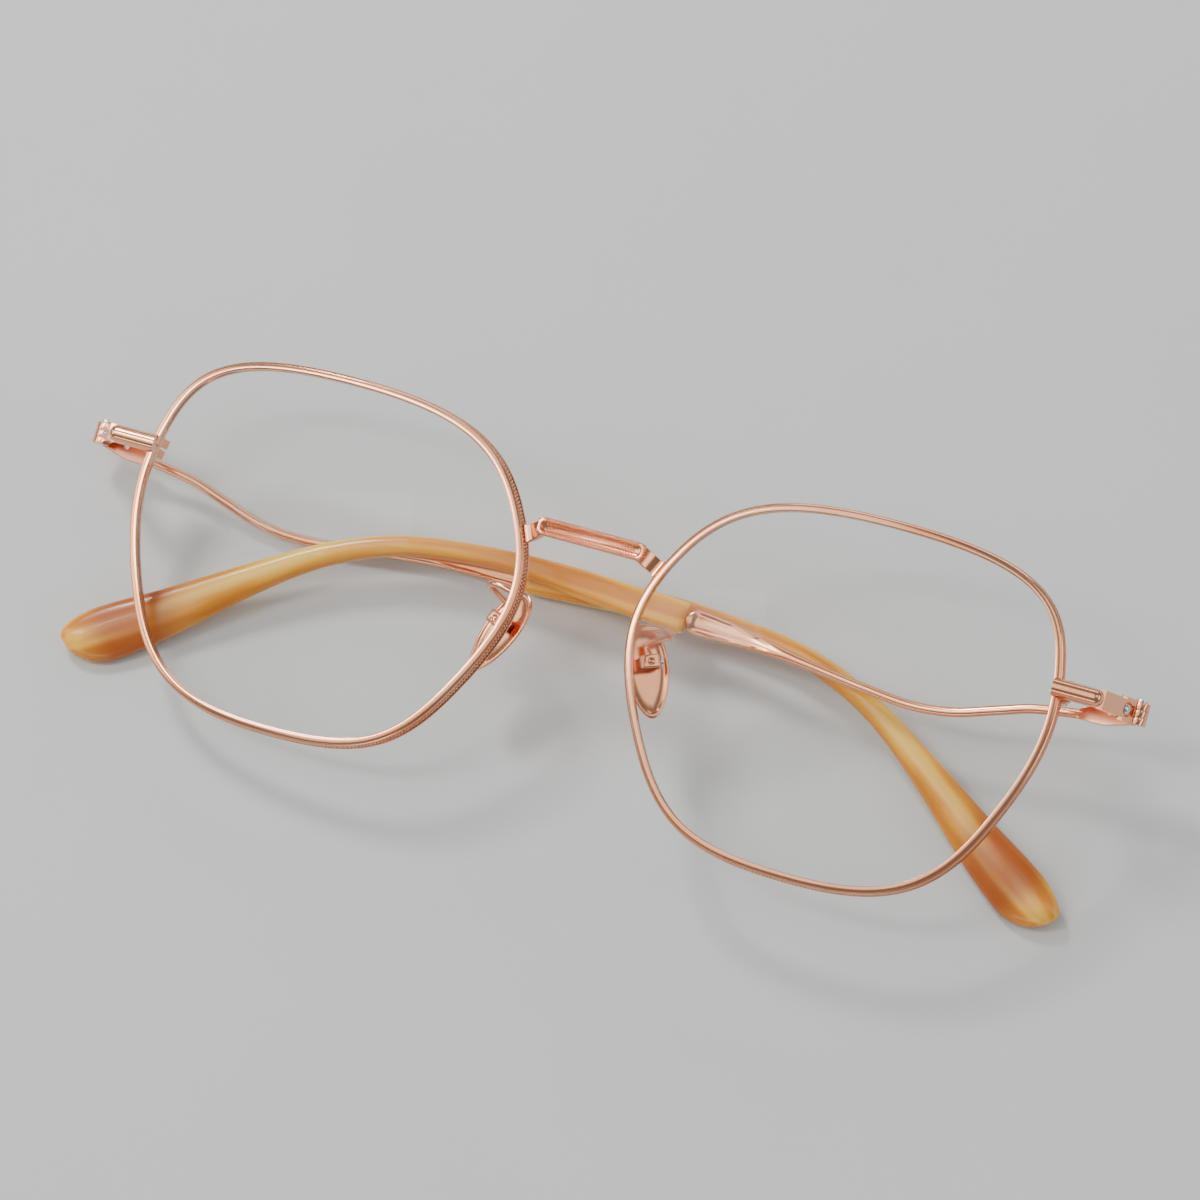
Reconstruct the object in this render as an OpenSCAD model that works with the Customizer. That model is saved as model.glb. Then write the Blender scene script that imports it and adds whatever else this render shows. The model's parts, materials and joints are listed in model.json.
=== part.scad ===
// Geometric wire eyeglasses, folded and lying on their temples with the lenses up.
// In the glasses' own frame X runs across the face towards the wearer's left, Y runs up the
// face and Z comes out of the front. The folded pair then leans as it lies on a table.

/* [Lenses] */
// Width of a lens shape, middle of rim wire to middle of rim wire
lens_w = 51; // [46:0.5:56]
// Height of a lens shape, middle of rim wire to middle of rim wire
lens_h = 43.8; // [40:0.2:48]
// Thickness of a lens
lens_t = 1.4; // [1:0.1:1.5]
// Thickness of the edge of a lens, which sits in the rim's groove
lens_edge_t = 0.3; // [0.2:0.02:0.36]
// Radius of the ball that the lenses and rims are curved to
base_radius = 112; // [90:1:200]
// Angle of each lens to the straight front, in degrees
face_form = 3.8; // [2:0.1:6]

/* [Rims] */
// Gap between the two rims over the nose, middle of wire to middle of wire
nose_gap = 15.2; // [14.6:0.1:19]
// Width of the rim wire seen from the front
rim_w = 1.13; // [1:0.01:1.4]
// Depth of the rim wire from front to back
rim_d = 1.78; // [1.7:0.02:2.3]
// Depth of the channel round the outside of the rim
channel_depth = 0.14; // [0.06:0.01:0.2]
// Depth of the groove that holds the lens
groove_depth = 0.36; // [0.26:0.01:0.42]
// Width of the slit where the closing block joins the rim
rim_slit = 0.3; // [0.2:0.02:0.5]

/* [Bridge] */
// Length of the straight bar of the bridge
bar_l = 13.6; // [12.6:0.1:14.4]
// Height of the bar
bar_h = 2.1; // [1.8:0.1:2.8]
// Thickness of the bar
bar_t = 1.2; // [0.9:0.1:1.6]
// Height of the bar's middle over the middle of the lenses
bar_y = 10.6; // [9.6:0.1:11.4]
// Distance of the bar's middle in front of the lens plane
bar_z = 0.4; // [0:0.1:1]
// Depth of the panel sunk into the bar
panel_depth = 0.3; // [0.1:0.05:0.5]
// Drop from the bar down to where a leg meets the rim
leg_drop = 1.5; // [1:0.1:2.5]
// Height of a leg
leg_h = 2; // [1.6:0.1:2.4]
// Thickness of a leg
leg_t = 0.75; // [0.6:0.05:0.78]

/* [End pieces] */
// Height of the end pieces over the middle of the lenses
end_y = 8.3; // [6:0.1:10]
// Reach of the half-round bar, from the middle of the rim outwards
end_reach = 5.6; // [4.6:0.1:8]
// Diameter of the half-round bar
end_d = 2.2; // [1.9:0.1:2.6]
// Length of the plate that turns back to the hinge
plate_l = 6.75; // [6.2:0.05:9]
// Height of the plate
plate_h = 2.3; // [2:0.1:2.6]
// Thickness of the plate
plate_t = 0.9; // [0.7:0.05:1.1]
// Angle that the plate turns back through, in degrees
plate_turn = 64.5; // [58:0.5:70]
// Height of the fork at the end of the plate
fork_h = 2.9; // [2.6:0.1:3.4]
// Length of the fork
fork_l = 2.2; // [1.8:0.1:2.6]
// Diameter of the domed screw head in the fork
block_head_d = 1.25; // [1.1:0.05:1.4]
// Diameter of that screw's shank
block_shank_d = 0.7; // [0.5:0.05:0.9]

/* [Closing blocks] */
// Width of a closing block across the rim
closing_w = 1.9; // [1.8:0.1:2.2]
// Depth of a closing block behind the rim
closing_d = 1.7; // [1.6:0.1:2.4]
// Height of each half of a closing block
closing_h = 1.1; // [0.9:0.1:1.5]
// Diameter of the closing screw's shank
rim_screw_d = 0.9; // [0.7:0.05:1]

/* [Hinges] */
// Outer diameter of the hinge barrels
barrel_d = 2.3; // [2:0.1:2.6]
// Height of the room for the middle barrel
barrel_h = 0.9; // [0.8:0.05:1.2]
// Diameter of the hinge screw's shank
pin_d = 0.9; // [0.7:0.05:1.1]
// Width of the hinge screw's head round its shank
pin_rim = 0.3; // [0.2:0.05:0.4]
// Thickness of the front's hinge leaf
block_t = 0.8; // [0.6:0.05:1]
// Length of the leaf that carries the temple wire
leaf_l = 7; // [6.4:0.1:8]
// Thickness of that leaf
leaf_t = 1.2; // [0.9:0.1:1.3]
// Diameter of the small hole through the leaf
leaf_hole_d = 0.7; // [0.4:0.1:0.8]
// Height of the small screw heads
head_h = 0.35; // [0.25:0.05:0.45]

/* [Temples] */
// Reach of a folded temple, hinge screw to the far end of the tip
temple_l = 129; // [124:1:136]
// Reach of the metal, hinge screw to the start of the tip
metal_l = 56.5; // [54:0.5:60]
// Diameter of the temple wire
wire_d = 1.2; // [1:0.05:1.5]
// Height of the spoon at the end of the wire
spoon_h = 3.3; // [2.8:0.1:3.6]
// Inward bow of a temple at its far end
temple_bow = 16.6; // [14:0.2:18]
// Slope of the folded right temple, which lies lowest, in degrees
fold_right = 9; // [8.8:0.1:10]
// Slope of the folded left temple, in degrees
fold_left = 5.8; // [5:0.1:6]

/* [Tips] */
// Height of a tip where it meets the metal
tip_h = 3.9; // [3.6:0.1:4.4]
// Thickness of a tip
tip_t = 2.6; // [2.3:0.1:2.8]
// Height of the paddle at the end of a tip
paddle_h = 6.9; // [6:0.1:8]
// Thickness of the paddle
paddle_t = 3; // [2.6:0.1:3.4]
// Length of the metal hidden inside a tip
core_l = 26; // [15:1:30]
// Diameter of the metal hidden inside a tip
core_d = 0.9; // [0.7:0.05:1.1]

/* [Nose pads] */
// Length of a nose pad
pad_l = 11.3; // [9.5:0.1:13]
// Width of a nose pad
pad_w = 5.2; // [4.6:0.1:6]
// Height of the place where a pad arm leaves the rim, over the middle of the lenses
arm_y = 1.8; // [0.5:0.1:3]
// Diameter of the pad arm's wire
arm_d = 0.8; // [0.6:0.05:1]
// Turn of a pad away from the nose, seen from above, in degrees
pad_splay = 24; // [18:1:32]
// Turn of a pad's foot outwards, seen from the front, in degrees
pad_frontal = 22; // [15:1:28]
// Width of the box that holds a pad
pad_box_w = 2.5; // [2.3:0.1:3]
// Height of that box
pad_box_h = 1.7; // [1.6:0.1:2.2]
// Thickness of the walls of that box
box_wall = 0.45; // [0.35:0.05:0.55]
// Diameter of the dimple in the back of the box
dimple_d = 0.9; // [0.6:0.1:1.2]
// Diameter of the pad screw's shank
pad_screw_d = 0.6; // [0.5:0.05:0.65]

/* [Hidden] */

rose_gold = [0.86, 0.58, 0.47];
steel = [0.78, 0.79, 0.8];
amber = [0.85, 0.62, 0.32];
clear = [0.9, 0.94, 0.95, 0.3];

RIGHT = -1;
LEFT = 1;
round_fn = 32;

// How the folded pair leans on the table, and what stands its lowest point on the table
lean_x = 14.7;
lean_y = -3.3;
stand_x = -0.5;
stand_y = -0.62;
lift = 17.14;

// Small gaps between pieces
seat_gap = 0.02;
flat_gap = 0.05;
shank_gap = 0.04;
lens_gap = 0.06;
core_gap = 0.08;
swing_gap = 0.3;
pad_play = 0.16;
plate_gap = 0.15;

function rotate_y(p, a) = [p[0] * cos(a) + p[2] * sin(a), p[1], p[2] * cos(a) - p[0] * sin(a)];
function rotate_z(p, a) = [p[0] * cos(a) - p[1] * sin(a), p[0] * sin(a) + p[1] * cos(a), p[2]];
function unit(v) = v / norm(v);
function mix(a, b, f) = a * (1 - f) + b * f;

// The lens shape is a hexagon with rounded corners and sides that bow a little: the curve
// runs from the middle of each side to the middle of the next. Each corner has its place
// and how far the curve is drawn towards it, from the upper outer corner over the nose.
lens_corners = [[21, 22, 0.75], [-16.5, 22, 0.75], [-27.5, 2, 0.75], [-15, -22.5, 0.8],
    [15.5, -22.5, 0.75], [26, 2, 0.75]];
corners = len(lens_corners);
corner_steps = 13;
function corner(i) = lens_corners[((i % corners) + corners) % corners];
function corner_xy(i) = [corner(i)[0], corner(i)[1]];
function side_middle(i) = (corner_xy(i - 1) + corner_xy(i)) / 2;
function pulled(i, m) = mix(m, corner_xy(i), corner(i)[2]);
function drawn(t) = let (i = floor(t), f = t - i, g = 1 - f, a = side_middle(i), b = side_middle(i + 1))
    g * g * g * a + 3 * f * g * g * pulled(i, a) + 3 * f * f * g * pulled(i, b) + f * f * f * b;

drawn_points = [for (k = [0:corners * corner_steps - 1]) drawn(k / corner_steps)];
drawn_x = [for (p = drawn_points) p[0]];
drawn_y = [for (p = drawn_points) p[1]];
drawn_middle = [max(drawn_x) + min(drawn_x), max(drawn_y) + min(drawn_y)] / 2;
stretch_x = lens_w / (max(drawn_x) - min(drawn_x));
stretch_y = lens_h / (max(drawn_y) - min(drawn_y));

// A point of the lens shape at its real size, and the way out of the lens there
function shape(t) = let (p = drawn(t) - drawn_middle) [p[0] * stretch_x, p[1] * stretch_y];
function along(t) = unit(shape(t + 0.01) - shape(t - 0.01));
function outward(t) = [along(t)[1], -along(t)[0]];
function sag(q) = sqrt(base_radius * base_radius - q * q) - base_radius;

// A point by the rim in the lens's own frame: out from the middle of the wire, and forward
function rim_point(t, out, fwd) = let (q = shape(t) + out * outward(t)) [q[0], q[1], sag(norm(q)) + fwd];
lens_x = (nose_gap + lens_w) / 2;
function to_front(p) = [lens_x, 0, 0] + rotate_y(p, face_form);

// Where on the lens shape a height is met, between two places that lie above and below it
function place_at(y, low, high, n = 24) = let (m = (low + high) / 2)
    n == 0 ? m : shape(m)[1] < y ? place_at(y, m, high, n - 1) : place_at(y, low, m, n - 1);
slit_t = place_at(end_y, -0.6, 0.6);
nose_t = place_at(bar_y - leg_drop, 2.4, 1.2);
arm_t = place_at(arm_y, 3.2, 1.6);

// The end piece starts flush with the inner wall of the rim. Its bar is half round over a
// flat strip, and the crease is where the strip turns back.
strip_rise = 0.2;
ball_to_crease = 0.1;
plate_out = -0.25;
end_at = to_front(rim_point(slit_t, 0, rim_d / 2));
bar_start = to_front(rim_point(slit_t, -rim_w / 2, rim_d / 2))[0];
bar_base = end_at[2] + strip_rise;
ball_x = end_at[0] + end_reach - end_d / 2;
crease_x = end_at[0] + end_reach + ball_to_crease;
pin_along = plate_l + barrel_d / 2 + plate_gap;
pin_x = crease_x + pin_along * cos(plate_turn) + plate_out * sin(plate_turn);
pin_y = end_at[1];
pin_z = bar_base - pin_along * sin(plate_turn) + plate_out * cos(plate_turn);
block_h = barrel_h - 2 * flat_gap;
hinge_h = 3 * barrel_h;
seat_depth = 0.35;
head_room = 0.3;
slot_w = 1.3;
prong_reach = 1.55;
screw_along = plate_l - prong_reach;

// The side line of a temple: distance from the hinge screw, and height over it. The waved
// part is measured from the hinge, and the bend of the tip from the temple's far end.
wave = [[0, -1], [12, -2.5], [17, -4], [22, -5.5], [27, -6], [33, -5.5], [41, -4.5], [49, -3.5],
    [57, -3]];
tip_bend = [[62, -2.5], [52, -2], [43, -2.5], [35, -4], [27, -7.5], [19, -13], [10, -20], [0, -27]];
side_line = concat(wave, [for (p = tip_bend) [temple_l - p[0], p[1]]]);

// A smooth curve through a list of points whose first value grows
function cell(list, x, i = 0) = (i >= len(list) - 2 || x < list[i + 1][0]) ? i : cell(list, x, i + 1);
function slope_at(list, i) = let (a = max(i - 1, 0), b = min(i + 1, len(list) - 1))
    (list[b][1] - list[a][1]) / (list[b][0] - list[a][0]);
function smooth(list, x) = let (i = cell(list, x), w = list[i + 1][0] - list[i][0],
    f = (x - list[i][0]) / w, m0 = slope_at(list, i) * w, m1 = slope_at(list, i + 1) * w)
    (2 * f * f * f - 3 * f * f + 1) * list[i][1] + (f * f * f - 2 * f * f + f) * m0
    + (3 * f * f - 2 * f * f * f) * list[i + 1][1] + (f * f * f - f * f) * m1;

function temple_point(s) = [-s, smooth(side_line, s), temple_bow * pow(s / temple_l, 2)];
function temple_dir(s) = unit(temple_point(s + 0.2) - temple_point(s - 0.2));
// A section of a temple, set square to its line: each point is up and sideways from it
function temple_ring(s, outline) = let (d = temple_dir(s), up = unit([0, 1, 0] - d[1] * d),
    side = cross(d, up)) [for (p = outline) temple_point(s) + p[0] * up + p[1] * side];
// A rounded outline: power 2 is an oval, and more is squarer
function oval(h, t, power, n) = [for (i = [0:n - 1]) let (a = 360 * (i + 0.5) / n,
    c = cos(a), e = sin(a)) [h / 2 * sign(c) * pow(abs(c), 2 / power),
    t / 2 * sign(e) * pow(abs(e), 2 / power)]];

// A skin over rings of points. Each end is capped with a fan from the ring's first point.
module skin(rings) {
    n = len(rings[0]);
    m = len(rings);
    sides = [for (i = [0:m - 2], j = [0:n - 1]) let (k = i * n, l = (j + 1) % n)
        each [[k + j, k + n + l, k + l], [k + j, k + n + j, k + n + l]]];
    caps = [for (j = [1:n - 2]) each [[0, j, j + 1], (m - 1) * n * [1, 1, 1] + [0, j + 1, j]]];
    polyhedron(points = [for (r = rings) each r], faces = concat(sides, caps), convexity = 10);
}

// Leans the folded pair as it lies on a table
module lying() {
    translate([stand_x, stand_y, lift]) rotate([lean_x, lean_y, 0]) children();
}

// Puts a piece that is drawn for the wearer's left side on either side
module on_side(side) {
    lying() mirror([side == LEFT ? 0 : 1, 0, 0]) children();
}

module on_lens() {
    translate([lens_x, 0, 0]) rotate([0, face_form, 0]) children();
}

// The frame of the rim wire at one place: X out of the lens, Y along the wire, Z forward
module at_rim(t) {
    p = rim_point(t, 0, 0);
    q = outward(t);
    translate(p)
        rotate([-asin(p[1] / base_radius), atan2(p[0], p[2] + base_radius), atan2(q[1], q[0])])
            children();
}

// The frame of the plate: X along it from the crease, Y up the face, Z out of its outer side
module on_plate() {
    translate([crease_x, pin_y, bar_base]) rotate([0, plate_turn, 0]) children();
}

module at_pin() {
    translate([pin_x, pin_y, pin_z]) children();
}

// The frame of a temple, folded as its side is: X towards the hinge, Y up, Z to the lenses
module on_temple(side) {
    fold = side == LEFT ? fold_left : fold_right;
    on_side(side) at_pin() rotate([0, -fold, 0]) children();
}

// A cylinder along Y, from y0 upwards
module upright(d, y0, h) {
    translate([0, y0, 0]) rotate([-90, 0, 0]) cylinder(d = d, h = h, $fn = round_fn);
}

// The rim wire's section: flat front and back with small bevels, the lens groove inside and
// a shallow channel outside. Each point is out from the middle of the wire, and forward.
rim_bevel = 0.16;
channel_lip = 0.36;
channel_slope = 0.12;
groove_half = 0.42;
half_w = rim_w / 2;
half_d = rim_d / 2;
rim_section = [[groove_depth - half_w, 0], [-half_w, groove_half], [-half_w, half_d - rim_bevel],
    [rim_bevel - half_w, half_d], [half_w - rim_bevel, half_d],
    [half_w, half_d - rim_bevel], [half_w, half_d - channel_lip],
    [half_w - channel_depth, half_d - channel_lip - channel_slope],
    [half_w - channel_depth, channel_lip + channel_slope - half_d],
    [half_w, channel_lip - half_d], [half_w, rim_bevel - half_d],
    [half_w - rim_bevel, -half_d], [rim_bevel - half_w, -half_d],
    [-half_w, rim_bevel - half_d], [-half_w, -groove_half]];

module rim(side) {
    steps = corners * corner_steps;
    half_slit = rim_slit / 2 / norm(shape(slit_t + 0.01) - shape(slit_t)) * 0.01;
    stations = concat([slit_t + half_slit], [for (i = [1:steps - 1]) slit_t + i / corner_steps],
        [slit_t + corners - half_slit]);
    color(rose_gold) on_side(side) on_lens()
        skin([for (t = stations) [for (p = rim_section) rim_point(t, p[0], p[1])]]);
}

// A slice of a hollow ball, cut to the lens shape
module lens_slice(out, thick) {
    intersection() {
        translate([0, 0, -lens_w / 2])
            linear_extrude(lens_w)
                polygon([for (i = [0:corners * corner_steps - 1]) let (t = slit_t + i / corner_steps)
                    shape(t) + out * outward(t)]);
        translate([0, 0, -base_radius]) difference() {
            sphere(r = base_radius + thick / 2, $fn = 96);
            sphere(r = base_radius - thick / 2, $fn = 96);
        }
    }
}

module lens(side) {
    color(clear) on_side(side) on_lens() {
        lens_slice(-half_w - lens_gap, lens_t);
        lens_slice(groove_depth / 2 - half_w, lens_edge_t);
    }
}

// The bar of the bridge has a long panel sunk into its front, with a fine raised bead round it
panel_r = bar_h / 2 - 0.4;
bead_w = 0.14;
bead_h = 0.1;
bar_corner = 0.4;

module slot_outline(r) {
    for (x = [-1, 1]) translate([x * (bar_l / 2 - bar_h / 2 - 0.1), 0]) circle(r = r, $fn = round_fn);
    square([bar_l - bar_h - 0.2, 2 * r], center = true);
}

// One leg is a ribbon that leaves the bar level and turns to lie in the rim's channel
module bridge_leg() {
    foot = to_front(rim_point(nose_t, half_w - channel_depth + seat_gap, 0));
    foot_up = rotate_y([-along(nose_t)[0], -along(nose_t)[1], 0], face_form);
    foot_out = rotate_y([outward(nose_t)[0], outward(nose_t)[1], 0], face_form);
    start = [bar_l / 2 - 0.8, bar_y, bar_z - 0.1];
    knee = foot + 1.2 * foot_out;
    skin([for (f = [0, 0.3, 0.5, 0.65, 0.8, 0.9, 1])
        let (g = 1 - f, p = g * g * start + 2 * f * g * knee + f * f * foot,
        d = unit(2 * g * (knee - start) + 2 * f * (foot - knee)),
        u0 = mix([0, 1, 0], foot_up, f), u = unit(u0 - (u0 * d) * d), w = cross(d, u))
        [for (q = [[-1, -1], [1, -1], [1, 1], [-1, 1]])
            p + q[0] * leg_h / 2 * u + q[1] * leg_t / 2 * w]]);
}

module bridge() {
    color(rose_gold) lying() {
        translate([0, bar_y, bar_z]) difference() {
            union() {
                translate([0, 0, -bar_t / 2]) linear_extrude(bar_t) {
                    square([bar_l - 2 * bar_corner, bar_h], center = true);
                    square([bar_l, bar_h - 2 * bar_corner], center = true);
                    for (x = [-1, 1], y = [-1, 1])
                        translate([x * (bar_l / 2 - bar_corner), y * (bar_h / 2 - bar_corner)])
                            circle(r = bar_corner, $fn = round_fn);
                }
                translate([0, 0, bar_t / 2]) linear_extrude(bead_h) slot_outline(panel_r + bead_w);
            }
            translate([0, 0, bar_t / 2 - panel_depth]) linear_extrude(bar_t) slot_outline(panel_r);
        }
        for (side = [LEFT, RIGHT]) mirror([side == LEFT ? 0 : 1, 0, 0]) bridge_leg();
    }
}

// A round bar with one end shaped as half a ball
module ball_ended(d, straight) {
    rotate_extrude($fn = round_fn) intersection() {
        square([d, straight + d]);
        union() {
            translate([-d / 2, 0]) square([d, straight]);
            translate([0, straight]) circle(d = d, $fn = round_fn);
        }
    }
}

// A half-round bar over a flat strip, then the plate that turns back and ends in a fork
module end_piece(side) {
    strip_h = end_d - 0.02;
    fork_r = block_head_d / 2 + head_room;
    color(rose_gold) on_side(side) difference() {
        union() {
            intersection() {
                translate([bar_start, end_at[1], bar_base]) rotate([0, 90, 0])
                    ball_ended(end_d, ball_x - bar_start);
                translate([bar_start, end_at[1] - end_d, bar_base - seat_gap])
                    cube([end_reach + end_d, 2 * end_d, end_d]);
            }
            translate([bar_start, end_at[1] - strip_h / 2, bar_base - plate_t])
                cube([crease_x - bar_start, strip_h, plate_t]);
            on_plate() {
                translate([0, -plate_h / 2, -plate_t]) cube([plate_l, plate_h, plate_t]);
                translate([plate_l - fork_l, -fork_h / 2, -plate_t]) cube([fork_l, fork_h, plate_t]);
            }
        }
        on_lens() at_rim(slit_t)
            translate([-rim_w, -end_d, -rim_d])
                cube([1.5 * rim_w + flat_gap, 2 * end_d, rim_d + half_d + seat_gap]);
        on_plate() {
            translate([screw_along, 0, -seat_depth]) cylinder(r = fork_r, h = plate_t, $fn = round_fn);
            translate([screw_along, -slot_w / 2, -seat_depth]) cube([plate_l, slot_w, plate_t]);
            translate([screw_along, 0, -2 * plate_t])
                cylinder(d = block_shank_d + 2 * shank_gap, h = 3 * plate_t, $fn = round_fn);
        }
    }
}

// The two halves behind the slit, one on each end of the rim wire
closing_in = 0.1;
closing_back = half_d + seat_gap + closing_d / 2;
module closing_block(side) {
    color(rose_gold) on_side(side) on_lens() at_rim(slit_t) difference() {
        for (y = [rim_slit / 2, -rim_slit / 2 - closing_h])
            translate([-closing_in, y, -closing_back - closing_d / 2]) cube([closing_w, closing_h, closing_d]);
        translate([closing_w / 2 - closing_in, 0, -closing_back])
            upright(rim_screw_d + 2 * shank_gap, -3 * closing_h, 6 * closing_h);
    }
}

driver_w = 0.2;
driver_deep = 0.15;
head_over = 0.5;
module rim_screw(side) {
    low = -rim_slit / 2 - closing_h - flat_gap;
    color(steel) on_side(side) on_lens() at_rim(slit_t)
        translate([closing_w / 2 - closing_in, 0, -closing_back]) difference() {
            union() {
                upright(rim_screw_d, low, 2 * closing_h + rim_slit);
                upright(rim_screw_d + head_over, low - head_h, head_h);
            }
            translate([-rim_screw_d, low - head_h, -driver_w / 2])
                cube([2 * rim_screw_d, driver_deep, driver_w]);
        }
}

// The front's leaf of the hinge lies under the plate and ends in the middle barrel
foot_start = screw_along - block_head_d / 2 - 0.3;
module hinge_block(side) {
    color(rose_gold) on_side(side) difference() {
        union() {
            on_plate() translate([foot_start, -block_h / 2, -plate_t - seat_gap - block_t])
                cube([pin_along - foot_start, block_h, block_t]);
            at_pin() upright(barrel_d, -block_h / 2, block_h);
        }
        at_pin() upright(pin_d + 2 * shank_gap, -barrel_h, 2 * barrel_h);
        on_plate() translate([screw_along, 0, -plate_t - 2 * block_t])
            cylinder(d = 0.5 * block_shank_d + 2 * shank_gap, h = 2 * block_t, $fn = round_fn);
    }
}

module block_screw(side) {
    seat = flat_gap - seat_depth;
    foot_in = 0.6 * block_t;
    color(steel) on_side(side) on_plate() translate([screw_along, 0, 0]) {
        intersection() {
            translate([0, 0, seat - 0.2]) sphere(d = 1.2 * block_head_d, $fn = round_fn);
            translate([0, 0, seat]) cylinder(d = block_head_d, h = block_head_d, $fn = round_fn);
        }
        translate([0, 0, -plate_t]) cylinder(d = block_shank_d, h = plate_t + seat + 0.1, $fn = round_fn);
        translate([0, 0, -plate_t - foot_in])
            cylinder(d = 0.5 * block_shank_d, h = foot_in + 0.1, $fn = round_fn);
    }
}

// Two barrels round the front's one, and the leaf that narrows down to the wire
slot_reach = barrel_d / 2 + 1.25;
leaf_slope = 1.2;
hole_back = 0.9;
hole_low = 0.7;
module temple_hinge(side) {
    low = -hinge_h / 2;
    end_low = smooth(side_line, leaf_l) - wire_d / 2;
    color(rose_gold) on_temple(side) difference() {
        union() {
            upright(barrel_d, low, hinge_h);
            translate([0, 0, -leaf_t / 2]) linear_extrude(leaf_t)
                polygon([[0, low], [0, -low], [-slot_reach, -low], [-slot_reach - leaf_slope, 0.4],
                    [-leaf_l, end_low + wire_d], [-leaf_l, end_low], [-slot_reach - leaf_slope, end_low]]);
        }
        translate([-slot_reach, -barrel_h / 2, -barrel_d]) cube([2 * slot_reach, barrel_h, 2 * barrel_d]);
        upright(pin_d + 2 * shank_gap, -hinge_h, 2 * hinge_h);
        translate([-slot_reach - hole_back, -hole_low, -leaf_t])
            cylinder(d = leaf_hole_d, h = 2 * leaf_t, $fn = round_fn);
    }
}

module hinge_screw(side) {
    top = hinge_h / 2 + flat_gap;
    color(steel) on_temple(side) difference() {
        union() {
            upright(pin_d, -hinge_h / 2, hinge_h + 2 * flat_gap);
            upright(pin_d + 2 * pin_rim, top, head_h);
        }
        translate([-pin_d, top + head_h - driver_deep, -driver_w / 2])
            cube([2 * pin_d, 2 * driver_deep, driver_w]);
    }
}

// Height and thickness of the wire along its line, measured back from the end of the spoon
wire_h_at = [[-metal_l, wire_d], [-20, wire_d], [-15, wire_d + 0.1], [-10, wire_d + 0.7],
    [-5, spoon_h - 0.5], [0, spoon_h]];
wire_t_at = [[-metal_l, wire_d], [-16, wire_d], [0, wire_d + 0.2]];

// The end of the spoon is rounded: its share of the full height at a distance from the end
spoon_r = 1.4;
spoon_flat = 0.8;
function spoon_share(back) = back > spoon_r ? 1 : sqrt(1 - spoon_flat * pow(1 - back / spoon_r, 2));

module temple_wire(side) {
    end_s = metal_l - flat_gap;
    stations = concat([for (s = [leaf_l + 2 * flat_gap:1.8:end_s - spoon_r]) s],
        [for (share = [1, 0.6, 0.3, 0.1, 0]) end_s - share * spoon_r]);
    color(rose_gold) on_temple(side) {
        skin([for (s = stations) temple_ring(s, oval(spoon_share(end_s - s) * smooth(wire_h_at, s - metal_l),
            smooth(wire_t_at, s - metal_l), 2.2, 12))]);
        skin([for (i = [0:10]) temple_ring(mix(metal_l - 1, metal_l + core_l, i / 10),
            oval(core_d, core_d, 2, 8))]);
    }
}

// Height, thickness and squareness of a tip, measured back from its far end
tip_h_at = [[metal_l - temple_l, tip_h], [-60, tip_h - 0.3], [-54, 3], [-48, 2.6], [-36, 2.6],
    [-28, 2.9], [-22, 3.5], [-16, 4.7], [-11, 5.9], [-6, paddle_h], [-3, paddle_h - 0.1],
    [-1, 0.8 * paddle_h], [0, 0.4 * paddle_h]];
tip_t_at = [[metal_l - temple_l, tip_t], [-36, tip_t], [-20, tip_t + 0.2], [-9, paddle_t],
    [-3, 0.9 * paddle_t], [-1, 0.65 * paddle_t], [0, 0.3 * paddle_t]];
tip_square_at = [[metal_l - temple_l, 5], [-60, 4.5], [-50, 3.2], [-40, 2.4], [0, 2.2]];

tip_chamfer = 0.5;
module temple_tip(side) {
    length = temple_l - metal_l;
    backs = concat([length, length - 0.4], [for (b = [length - 2.4:-2.4:7]) b],
        [5, 3.4, 2.2, 1.2, 0.6, 0.2, 0]);
    bore_d = core_d + 2 * core_gap;
    color(amber) on_temple(side) difference() {
        skin([for (i = [0:len(backs) - 1]) let (b = backs[i], cut = i == 0 ? tip_chamfer : 0)
            temple_ring(temple_l - b, oval(smooth(tip_h_at, -b) - cut, smooth(tip_t_at, -b) - cut,
                smooth(tip_square_at, -b), 14))]);
        skin([for (i = [0:10]) temple_ring(mix(metal_l - 1, metal_l + core_l + 2 * core_gap, i / 10),
            oval(bore_d, bore_d, 2, 8))]);
    }
}

// A pad arm leaves the back of the rim, and a pad's place is measured from there
arm_root = to_front(rim_point(arm_t, 0, -half_d)) - [0, 0, arm_d / 2 + flat_gap];
pad_at = arm_root + [2.1, -4.4, -3.9];
stud_up = 1;
screw_rise = 1.2;
stud_r = 0.6;
stud_w = pad_box_w - 2 * box_wall - 2 * pad_play;
box_floor = screw_rise + stud_r + swing_gap;
box_top = 0.45;
dimple_deep = 0.2;
dimple_r = (dimple_d * dimple_d / 4 + dimple_deep * dimple_deep) / (2 * dimple_deep);

// The frame of a pad: X across it, Y up it, Z out of its back towards the lens
module on_pad(side) {
    on_side(side) translate(pad_at) rotate([0, 0, pad_frontal]) rotate([0, pad_splay, 0]) children();
}
function pad_point(p) = pad_at + rotate_z(rotate_y(p, pad_splay), pad_frontal);

function leaf_ring(share, z) = [for (i = [0:23]) let (a = 15 * i, v = sin(a))
    [pad_w / 2 * share * cos(a) * (1 + 0.14 * v), pad_l / 2 * share * v, z]];

module nose_pad(side) {
    color(rose_gold) on_pad(side) skin([leaf_ring(0.08, -0.9), leaf_ring(0.55, -0.75),
        leaf_ring(0.86, -0.4), leaf_ring(1, -0.02), leaf_ring(1, 0.2), leaf_ring(0.93, 0.26),
        leaf_ring(0.87, 0.1), leaf_ring(0.6, -0.02), leaf_ring(0.08, 0)]);
}

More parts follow.
